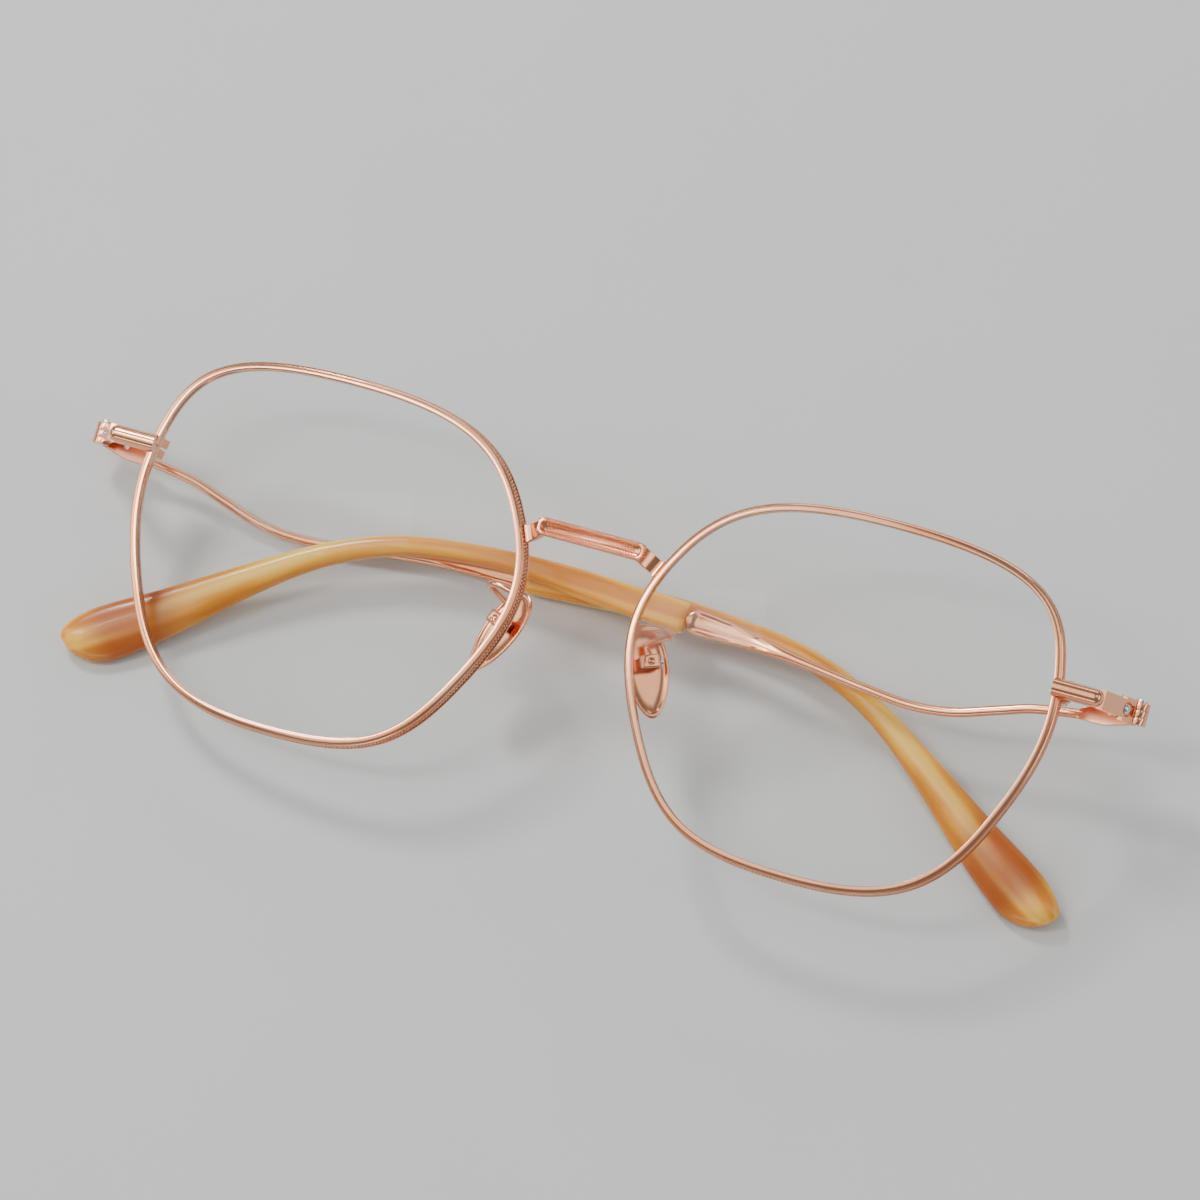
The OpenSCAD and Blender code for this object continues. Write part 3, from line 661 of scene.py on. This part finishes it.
# %% Bridge legs
LEG_H, LEG_T = 2, 0.75
LEG_SECTION = [(0.82, -1), (1, -0.93), (1, 0.93), (0.82, 1),
               (-0.82, 1), (-1, 0.93), (-1, -0.93), (-0.82, -1)]
LEG_STEPS = 18
LEG_START = BAR_AT + Vector((BAR_L / 2 - 0.8, 0, -0.1))
KNEE = 1.2
SOLDER = 0.02
FLARE, FLARE_FROM = 0.12, 0.7


def leg(side_name):
    foot_out, foot_line = rim_ways(NOSE_AT)
    foot = rim_point(NOSE_AT, HALF_W - CHANNEL + SOLDER, 0)
    knee = foot + KNEE * foot_out
    rings = []
    for k in range(LEG_STEPS + 1):
        f = k / LEG_STEPS
        g = 1 - f
        p = g * g * LEG_START + 2 * f * g * knee + f * f * foot
        d = (2 * g * (knee - LEG_START) + 2 * f * (foot - knee)).normalized()
        up = Vector((0, 1, 0)).lerp(-foot_line, f)
        up = (up - up.dot(d) * d).normalized()
        across = d.cross(up)
        flare = 1 + FLARE * ease((f - FLARE_FROM) / (1 - FLARE_FROM))
        rings.append([p + x * LEG_T / 2 * across + y * flare * LEG_H / 2 * up
                      for x, y in LEG_SECTION])
    return loft(f"bridge_leg_{side_name}", rings, SIDES[side_name], PLATED, "front", None,
                sharp=30)


for side_name in SIDES:
    leg(side_name)

# %% [markdown]
# ## Beading on the bridge
#
# The panel's floor carries three rows of beads, and finer rows run along the bar's front edges
# and its top and bottom. The rows are straight, so a place along the bar is all that each bead
# needs.

# %% Beading on the bridge
PANEL_BEAD_R, PANEL_PITCH = 0.17, 0.36
EDGE_BEAD_R, FRONT_PITCH, SIDE_PITCH = 0.11, 0.2, 0.25
EDGE_REACH, EDGE_Y, EDGE_SINK = HALF_BAR + 0.4, 0.9, 0.03


def bar_row(y, z, out, reach, pitch, shift=0.0):
    """Places for a row of beads along the bar, shifted by a share of their pitch."""
    return [(BAR_AT + Vector((-reach + pitch * (k + 0.5 + shift), y, z)), Vector(out),
             Vector((1, 0, 0)))
            for k in range(int(2 * reach / pitch))]


panel = []
for n in range(3):
    panel += bar_row((n - 1) * PANEL_PITCH, HALF_T - PANEL_DEEP, (0, 0, 1), PANEL_REACH + 0.1,
                     PANEL_PITCH, n % 2 / 2)
domes("bridge_panel_milgrain", panel, PANEL_BEAD_R, LEFT, rise=1.1)
edges = []
for way in (1, -1):
    edges += bar_row(way * EDGE_Y, HALF_T - EDGE_SINK, (0, 0, 1), EDGE_REACH, FRONT_PITCH)
for n in (-1, 0, 1):
    for way in (-1, 1):
        edges += bar_row(way * BAR_H / 2, n * SIDE_PITCH, (0, way, 0), EDGE_REACH, SIDE_PITCH,
                         n / 2)
domes("bridge_edge_milgrain", edges, EDGE_BEAD_R, LEFT)

# %% [markdown]
# ## Temples
#
# A temple's line is seen from the side: it leaves the hinge, waves down and up again, then runs
# on inside the tip, which bends down behind the ear. From above it bows gently inwards. A
# point on it is given by its distance from the hinge screw, measured straight back.

# %% The line of a temple
TEMPLE_L, METAL_L = 129, 56.5
TEMPLE_BOW = 16.6
FOLD = {"right": math.radians(9), "left": math.radians(5.8)}
PIN = Vector((67.09, HINGE_Y, -11.15))
WAVE = [(0, -1), (12, -2.5), (17, -4), (22, -5.5), (27, -6), (33, -5.5), (41, -4.5), (49, -3.5),
        (57, -3)]
TIP_BEND = [(62, -2.5), (52, -2), (43, -2.5), (35, -4), (27, -7.5), (19, -13), (10, -20), (0, -27)]
SIDE_LINE = WAVE + [(TEMPLE_L - back, y) for back, y in TIP_BEND]
A_LITTLE = 0.2


def smooth(points, x):
    """A smooth curve through points whose first value grows."""
    i = 0
    while i < len(points) - 2 and x >= points[i + 1][0]:
        i += 1

    def slope(k):
        a, b = points[max(k - 1, 0)], points[min(k + 1, len(points) - 1)]
        return (b[1] - a[1]) / (b[0] - a[0])

    width = points[i + 1][0] - points[i][0]
    f = (x - points[i][0]) / width
    m0, m1 = slope(i) * width, slope(i + 1) * width
    return ((2 * f**3 - 3 * f * f + 1) * points[i][1] + (f**3 - 2 * f * f + f) * m0
            + (3 * f * f - 2 * f**3) * points[i + 1][1] + (f**3 - f * f) * m1)


def temple_point(s):
    return Vector((-s, smooth(SIDE_LINE, s), TEMPLE_BOW * (s / TEMPLE_L) ** 2))


def temple_ring(s, outline, fold):
    """A section square to the temple's line, folded with its temple."""
    d = (temple_point(s + A_LITTLE) - temple_point(s - A_LITTLE)).normalized()
    up = (Vector((0, 1, 0)) - d.y * d).normalized()
    across = up.cross(d)
    turn = Matrix.Translation(PIN) @ Matrix.Rotation(-fold, 4, "Y")
    return [turn @ (temple_point(s) + y * up + z * across) for y, z in outline]


line = [temple_point(s) for s in range(TEMPLE_L + 1)]
print("a temple is %.1f mm long round its bends"
      % sum((b - a).length for a, b in zip(line, line[1:])))

# %% [markdown]
# ## Temple wires
#
# The wire is round and ends in a spoon, a flat leaf whose face is pressed in a little inside a
# raised edge. The sections near the spoon are sunk on both faces, more towards the middle.

# %% Temple wires
LEAF_L = 7
WIRE_D, SPOON_H = 1.2, 3.3
WIRE_H_AT = [(-METAL_L, WIRE_D), (-20, WIRE_D), (-15, WIRE_D + 0.1), (-10, WIRE_D + 0.7),
             (-5, SPOON_H - 0.5), (0, SPOON_H)]
WIRE_T_AT = [(-METAL_L, WIRE_D), (-16, WIRE_D), (0, WIRE_D + 0.2)]
WIRE_SQUARE, WIRE_POINTS = 2.2, 36
SPOON_R, SPOON_FLAT = 1.4, 0.8
# The pressed face: how deep it is, where it starts and ends, and how soft each of its sides is.
PRESSED = 0.2
PRESSED_FROM, PRESSED_TO, PRESSED_EDGE = 13, 0.5, 0.38
SOFT_START, SOFT_END, SOFT_EDGE = 5, 0.9, 0.25
WIRE_STEP = 0.5
NEAR_END, NEAR_STEP, NEAR_RINGS = 2.5, 0.2, 7
WIRE_END = METAL_L - 0.05
END_SHARES = (0.85, 0.7, 0.55, 0.4, 0.28, 0.18, 0.1, 0.05, 0.02, 0)


def spoon_share(back):
    """How much of its full height the spoon has near its rounded end."""
    if back > SPOON_R:
        return 1
    return math.sqrt(1 - SPOON_FLAT * (1 - back / SPOON_R) ** 2)


def wire_outline(back):
    """The wire's section at a distance back from the spoon's end."""
    height = spoon_share(back) * smooth(WIRE_H_AT, -back)
    outline = oval(height, smooth(WIRE_T_AT, -back), WIRE_SQUARE, WIRE_POINTS)
    deep = (PRESSED * ease((PRESSED_FROM - back) / SOFT_START)
            * ease((back - PRESSED_TO) / SOFT_END))
    sunk = []
    for y, z in outline:
        inside = ease((height / 2 - PRESSED_EDGE - abs(y)) / SOFT_EDGE)
        sunk.append((y, z - math.copysign(deep * inside, z)))
    return sunk


def temple_wire(side_name):
    count = int((WIRE_END - NEAR_END - LEAF_L) / WIRE_STEP)
    steps = [LEAF_L + WIRE_STEP * (k - 1) for k in range(count)]
    steps += [WIRE_END - NEAR_END + NEAR_STEP * (k - 0.5) for k in range(NEAR_RINGS)]
    steps += [WIRE_END - SPOON_R * share for share in END_SHARES]
    rings = [temple_ring(s, wire_outline(WIRE_END - s), FOLD[side_name]) for s in steps]
    return loft(f"waved_wire_{side_name}", rings, SIDES[side_name], PLATED, f"temple_{side_name}",
                f"temple_wire_{side_name}", sharp=50)


for side_name in SIDES:
    temple_wire(side_name)

# %% [markdown]
# ## Honey-coloured acetate
#
# The tips are cut from cloudy acetate. Light goes a little way in, so the colour has depth: a pale
# honey ground, streaks along the length and a brown bloom at the paddle. The streaks were drawn
# out with the sheet before the tip was bent, so the finish reads the straight place of each
# point, which the mesh carries with it in metres: back from the end, up and across.

# %% Amber finish
STRAIGHT = "straight_place"
HONEYS = [(0.0, (0.98, 0.58, 0.085)), (0.35, (0.94, 0.48, 0.045)), (0.65, (0.86, 0.36, 0.02)),
          (1.0, (0.68, 0.22, 0.01))]
TOFFEE = (0.42, 0.095, 0.012)
DRAWN_OUT = (0.09, 1, 1)
STREAK_WAVES, WISP_WAVES, BLOOM_WAVES = 330.0, 1100.0, 120.0
BLOOM_START, BLOOM_FULL, BLOOM_CHANGE = 0.020, 0.009, 0.014
PALE_END, PALE_FROM = 0.001, 0.005


def amber():
    material, bare = finish("amber_tip")
    straight = bare.node("ShaderNodeAttribute", {"attribute_name": STRAIGHT}, None, "Vector")
    drawn_out = straight.node("ShaderNodeMapping", None,
                              {"Vector": straight, "Scale": DRAWN_OUT})
    streaks = speckle(drawn_out, STREAK_WAVES, detail=2.0)
    wisps = speckle(drawn_out, WISP_WAVES)
    cloud = speckle(straight, BLOOM_WAVES, detail=2.0)
    back = straight.node("ShaderNodeSeparateXYZ", None, {0: straight})
    ground = streaks.node("ShaderNodeValToRGB", {"stops": HONEYS},
                          {0: ramp(streaks + (wisps - 0.5) * 0.35, 0.3, 0.72)})
    bloom = (ramp(back + (cloud - 0.5) * BLOOM_CHANGE, BLOOM_START, BLOOM_FULL)
             * ramp(back, PALE_END, PALE_FROM))
    colour = fade(bloom * (0.45 + ramp(streaks, 0.35, 0.6) * 0.5), ground, TOFFEE)
    surface(bare, {"Base Color": colour, "Roughness": 0.26 + wisps * 0.08,
                   "Subsurface Weight": 0.35, "Subsurface Radius": (0.0025, 0.0013, 0.0005),
                   "Coat Weight": 0.25, "Coat Roughness": 0.07, "IOR": 1.45})
    return material


AMBER = amber()
print("amber nodes:", len(AMBER.node_tree.nodes))

# %% [markdown]
# ## Tips
#
# A tip is a rounded bar that starts almost square round the wire, thins in the bend and widens to
# a flat paddle that sits on the skull. The paddle's back edge runs nearly straight to the end and
# its belly sweeps up to meet it. It is one loft, with the rings set close where the end is round.

# %% Tips
TIP_H, TIP_T, PADDLE_H, PADDLE_T = 3.9, 2.6, 6.9, 3
TIP_L = TEMPLE_L - METAL_L
TIP_H_AT = [(-TIP_L, TIP_H), (-60, TIP_H - 0.3), (-54, 3), (-48, 2.6), (-36, 2.6), (-28, 2.9),
            (-22, 3.5), (-16, 4.7), (-11, 5.9), (-6, PADDLE_H), (0, PADDLE_H)]
TIP_T_AT = [(-TIP_L, TIP_T), (-36, TIP_T), (-20, TIP_T + 0.2), (-9, PADDLE_T), (0, PADDLE_T)]
TIP_SQUARE_AT = [(-TIP_L, 5), (-60, 4.5), (-50, 3.2), (-40, 2.4), (-8, 2.1), (0, 2)]
TIP_POINTS = 48
CHAMFER = 0.5
# The first rings: how far each lies from the tip's mouth, and its share of the chamfer.
MOUTH_RINGS = [(0, 1), (0.08, 0.8), (0.4, 0.06), (0.55, 0), (1, 0)]
PADDLE_FROM, PADDLE_RINGS = 7, (6.5, 6, 5.5, 5)
END_H, END_T, END_RISE = 4.6, 2.6, 0.42
END_DEGREES = range(87, 2, -3)


def end_share(back, reach):
    """How full the tip is near its round end."""
    return 1 if back > reach else math.sqrt(1 - (1 - back / reach) ** 2)


def tip(side_name):
    cuts = [(TIP_L - inside, CHAMFER * share) for inside, share in MOUTH_RINGS]
    cuts += [(TIP_L - inside, 0) for inside in range(2, int(TIP_L - PADDLE_FROM))]
    cuts += [(back, 0) for back in PADDLE_RINGS]
    cuts += [(END_H * (1 - math.cos(math.radians(a))), 0) for a in END_DEGREES]
    rings, straight = [], []
    for back, cut in cuts:
        full = end_share(back, END_H)
        height = full * smooth(TIP_H_AT, -back) - cut
        thick = end_share(back, END_T) * smooth(TIP_T_AT, -back) - cut
        rise = END_RISE * (1 - full) * PADDLE_H / 2
        square = smooth(TIP_SQUARE_AT, -back)
        outline = [(y + rise, z) for y, z in oval(height, thick, square, TIP_POINTS)]
        rings.append(temple_ring(TEMPLE_L - back, outline, FOLD[side_name]))
        straight += [(back * MM, y * MM, z * MM) for y, z in outline]
    piece = loft(f"amber_tip_{side_name}", rings, SIDES[side_name], AMBER,
                 f"temple_{side_name}", f"temple_tip_{side_name}", sharp=35)
    carried = piece.data.attributes.new(STRAIGHT, "FLOAT_VECTOR", "POINT")
    carried.data.foreach_set("vector", [v for point in straight for v in point])
    return piece


for side_name in SIDES:
    tip(side_name)

# %% [markdown]
# ## Nose pads
#
# The pads are thin metal shells with a raised bright edge, each held by a small box at the end of
# a bent wire. A pad has a frame of its own: X across it, Y up it and Z out of its back. Its rings
# start on the face that touches the nose and step outwards, round the edge and in again.

# %% Nose pads
ARM_D, SOLDER_GAP = 0.8, 0.05
ARM_ROOT = rim_point(ARM_AT, 0, -HALF_D) - Vector((0, 0, ARM_D / 2 + SOLDER_GAP))
PAD_L, PAD_W = 11.3, 5.2
PAD_FULLER, PAD_POINTS = 0.14, 56
PAD_AT = ARM_ROOT + Vector((2.1, -4.4, -3.9))
PAD_FRONTAL, PAD_SPLAY = math.radians(22), math.radians(24)
PAD_TURN = Matrix.Rotation(PAD_FRONTAL, 4, "Z") @ Matrix.Rotation(PAD_SPLAY, 4, "Y")
PAD_FRAME = Matrix.Translation(PAD_AT) @ PAD_TURN
# For each ring: its share of the pad's size, and its height.
PAD_RINGS = [(0.08, -0.9), (0.3, -0.86), (0.55, -0.75), (0.72, -0.6), (0.86, -0.4), (0.95, -0.2),
             (1, -0.02), (1, 0.14), (0.99, 0.21), (0.965, 0.26), (0.93, 0.28), (0.895, 0.26),
             (0.87, 0.19), (0.85, 0.1), (0.8, 0.04), (0.6, -0.03), (0.35, -0.03), (0.08, -0.01)]


def pad_ring(share, z):
    """An outline that is fuller above its middle than below, at a share of the pad's size."""
    ring = []
    for k in range(PAD_POINTS):
        a = 2 * math.pi * k / PAD_POINTS
        v = math.sin(a)
        x = PAD_W / 2 * share * math.cos(a) * (1 + PAD_FULLER * v)
        ring.append(PAD_FRAME @ Vector((x, PAD_L / 2 * share * v, z)))
    return ring


for side_name, side in SIDES.items():
    pad = loft(f"pad_shell_{side_name}", [pad_ring(*p) for p in PAD_RINGS], side, PLATED,
               f"pad_{side_name}", f"nose_pad_{side_name}", sharp=60)

# %% [markdown]
# ## Pad arms
#
# A thin wire leaves the back of the rim, loops away and comes back to the pad's box, so that an
# optician can bend it to fit. A smooth curve through a few bends gives that hand-made line.

# %% Pad arms
STUD_UP, BOX_H, SEAT_GAP = 1, 1.7, 0.02
BOX_TOP = Vector((0, STUD_UP + BOX_H / 2 + SEAT_GAP, 1.6 + SEAT_GAP))
ARM_BENDS = [(0, 0, 0), (1.2, 0.4, 0), (2.5, 0.7, -0.1), (3.6, 0.8, -0.4), (4.2, 0.6, -1),
             (4, 0.3, -1.8)]
ARM_PATH = [ARM_ROOT + Vector(p) for p in ARM_BENDS]
ARM_PATH += [PAD_FRAME @ (BOX_TOP + Vector((0, y, 0))) for y in (1.2, 0)]
ARM_STEPS, ARM_POINTS = 12, 18
# The arm never runs this way, so its sections can all be turned from it.
ARM_ASIDE = Vector((0.1, 1, 0.2))
NEAR_BEND = 0.02


def on_path(path, t):
    """A point of a smooth curve through the path's points, which are met at whole numbers."""
    last = len(path) - 1
    i = min(math.floor(t), last - 1)
    f = t - i
    b, c = path[i], path[i + 1]
    a = path[i - 1] if i > 0 else 2 * b - c
    d = path[i + 2] if i < last - 1 else 2 * c - b
    return 0.5 * (2 * b + (c - a) * f + (2 * a - 5 * b + 4 * c - d) * f * f
                  + (3 * b - a - 3 * c + d) * f**3)


def arm(side_name):
    rings = []
    last = len(ARM_PATH) - 1
    for k in range(ARM_STEPS * last + 1):
        t = k / ARM_STEPS
        behind, ahead = max(t - NEAR_BEND, 0), min(t + NEAR_BEND, last)
        d = (on_path(ARM_PATH, ahead) - on_path(ARM_PATH, behind)).normalized()
        u = d.cross(ARM_ASIDE).normalized()
        v = d.cross(u)
        rings.append([on_path(ARM_PATH, t) + y * u + z * v
                      for y, z in oval(ARM_D, ARM_D, 2, ARM_POINTS)])
    return loft(f"arm_wire_{side_name}", rings, SIDES[side_name], PLATED, "front",
                f"pad_arm_{side_name}")


for side_name in SIDES:
    arm(side_name)

# %% [markdown]
# ## Small machined pieces
#
# The end pieces, hinge leaves, blocks, boxes and screws keep the shape that they come with. A
# machined edge is never perfectly sharp, though. Most get a bevel of a few hundredths of a
# millimetre, which catches the light as the real edge does. The temple's hinge leaf is worn
# rounder, and the box that holds a pad is cast, so it is the roundest. Round a hole, where the
# edges are short, the bevel is narrower.

# %% Finish the machined pieces
EDGE = {"end_piece": 0.06, "closing_block": 0.06, "hinge_block": 0.05, "temple_hinge": 0.14,
        "pad_box": 0.36, "rim_screw": 0.04, "block_screw": 0.02, "hinge_screw": 0.05}
LONG_EDGE = 0.0006
HOLE_SHARE, BOX_HOLE_SHARE = 0.3, 0.15
BOX_SKIN = 0.02
WELD = 2e-6
FLAT_DEGREES, CORNER_DEGREES = 1, 28
BEVEL_STEPS = 4


def outer_edges(made, box_frame):
    """The edges that lie on the edges of the block's own box, in a frame square to it."""
    at = {v: box_frame.inverted() @ v.co for v in made.verts}
    ends = [(min(p[k] for p in at.values()), max(p[k] for p in at.values())) for k in range(3)]

    def outer(v):
        near = [min(at[v][k] - ends[k][0], ends[k][1] - at[v][k]) < BOX_SKIN for k in range(3)]
        return sum(near) > 1

    return {e for e in made.edges if outer(e.verts[0]) and outer(e.verts[1])}


def machined(name, edge, material, box_frame=None):
    """A copy of a node with welded points, rounded edges and smooth curves.

    With a frame square to it, only the edges of its own box get the full bevel."""
    source = frame["nodes"][name]
    made = bmesh.new()
    made.from_mesh(source.data)
    bmesh.ops.remove_doubles(made, verts=made.verts, dist=WELD)
    bmesh.ops.dissolve_limit(made, angle_limit=math.radians(FLAT_DEGREES), verts=made.verts,
                             edges=made.edges)
    share = made.edges.layers.float.new("bevel_weight_edge")
    outer = outer_edges(made, box_frame) if box_frame else ()
    least = BOX_HOLE_SHARE if box_frame else HOLE_SHARE
    for e in made.edges:
        if e.calc_face_angle(0) > math.radians(CORNER_DEGREES):
            full = e in outer if box_frame else e.calc_length() > LONG_EDGE
            e[share] = 1 if full else least
    piece = placed(f"{name}_finished", made, material, source["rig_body"], name, sharp=180)
    bevel = piece.modifiers.new("rounded_edges", "BEVEL")
    bevel.width = edge * MM
    bevel.segments = BEVEL_STEPS
    bevel.limit_method = "WEIGHT"
    bevel.harden_normals = True
    bevel.use_clamp_overlap = not box_frame
    weighted = piece.modifiers.new("flat_faces", "WEIGHTED_NORMAL")
    weighted.weight = 100


for side_name, side in SIDES.items():
    for kind, edge in EDGE.items():
        is_screw = kind.endswith("screw")
        box_frame = LIE @ flip(side) @ PAD_FRAME if kind == "pad_box" else None
        machined(f"{kind}_{side_name}", edge, STEEL if is_screw else PLATED,
                 box_frame)

# %% [markdown]
# ## Lenses and pad pivots
#
# The lenses keep the ground and cut shape that they come with, and so do the stud and the screw
# that each pad rocks on, because they run in each other with a few hundredths of a millimetre
# to spare. They only get their finish, and the lenses smooth shading.

# %% Lenses and pad pivots
AS_PACKED = {"lens": CLEAR, "pad_stud": PLATED, "pad_screw": STEEL}
for side_name in SIDES:
    for kind, material in AS_PACKED.items():
        piece = frame["nodes"][f"{kind}_{side_name}"]
        piece.data.materials.clear()
        piece.data.materials.append(material)
        for face in piece.data.polygons:
            face.use_smooth = kind == "lens"
        print(piece.name, "gets", material.name)

# %% [markdown]
# ## Table
#
# The pair lies on a plain, pale, matt table. One flat sheet is enough, and a trace of cloudiness
# keeps it from looking like a painted wall.

# %% Table
DUSKY_TABLE = (0.60, 0.60, 0.595)
PALE_TABLE = (0.63, 0.63, 0.625)
TABLE_CLOUDS = 40.0
HALF_TABLE = 3


def table():
    material, bare = finish("pale_table")
    cloud = speckle(own_place(bare), TABLE_CLOUDS)
    surface(bare, {"Base Color": fade(cloud, DUSKY_TABLE, PALE_TABLE), "Roughness": 0.7})
    made = bmesh.new()
    bmesh.ops.create_grid(made, x_segments=1, y_segments=1, size=HALF_TABLE)
    mesh = bpy.data.meshes.new("table")
    made.to_mesh(mesh)
    made.free()
    mesh.materials.append(material)
    floor = bpy.data.objects.new("table", mesh)
    bpy.context.scene.collection.objects.link(floor)
    return floor


print("table size:", table().dimensions)

# %% [markdown]
# ## Light
#
# Polished metal shows what is around it more than it shows itself. So the light comes from a few
# soft lamps with dark gaps between them: the big ones give the copper its body, the small bright
# ones draw thin lines along the wire, and the gaps draw its dark edges.

# %% Light


def lamp(name, place, width, height, brightness):
    """A flat lamp that faces the glasses. Its brightness holds for each bit of its face."""
    light = bpy.data.lights.new(name, "AREA")
    light.shape = "RECTANGLE"
    light.size, light.size_y = width, height
    light.energy = brightness * math.pi * width * height
    holder = bpy.data.objects.new(name, light)
    holder.location = place
    holder.rotation_euler = (-Vector(place)).to_track_quat("-Z", "Y").to_euler()
    bpy.context.scene.collection.objects.link(holder)
    print(name, "gives", round(light.energy, 2), "W")


lamp("top_lamp", (-0.3, -0.15, 1.1), 0.9, 0.9, 1.35)
lamp("pad_lamp", (0.6, 0.17, 1.0), 0.42, 0.5, 1.4)
lamp("left_lamp", (-1, -0.15, 0.62), 0.8, 0.45, 2.8)
lamp("right_lamp", (1, 0.1, 0.5), 0.8, 0.3, 2.6)
lamp("far_lamp", (0, 1, 0.5), 1, 0.25, 2.6)
lamp("near_lamp", (-0.1, -1, 0.35), 0.9, 0.2, 2.8)
lamp("key_lamp", (-0.55, 0.55, 0.75), 0.22, 0.22, 44)
lamp("bright_lamp", (-0.55, -0.1, 0.95), 0.14, 0.5, 13)
STUDIO_GREY = (0.9, 0.92, 0.95, 1)
STUDIO_LIGHT = 0.26
world = bpy.data.worlds.new("studio")
bpy.context.scene.world = world
world.use_nodes = True
background = world.node_tree.nodes["Background"]
background.inputs["Color"].default_value = STUDIO_GREY
background.inputs["Strength"].default_value = STUDIO_LIGHT
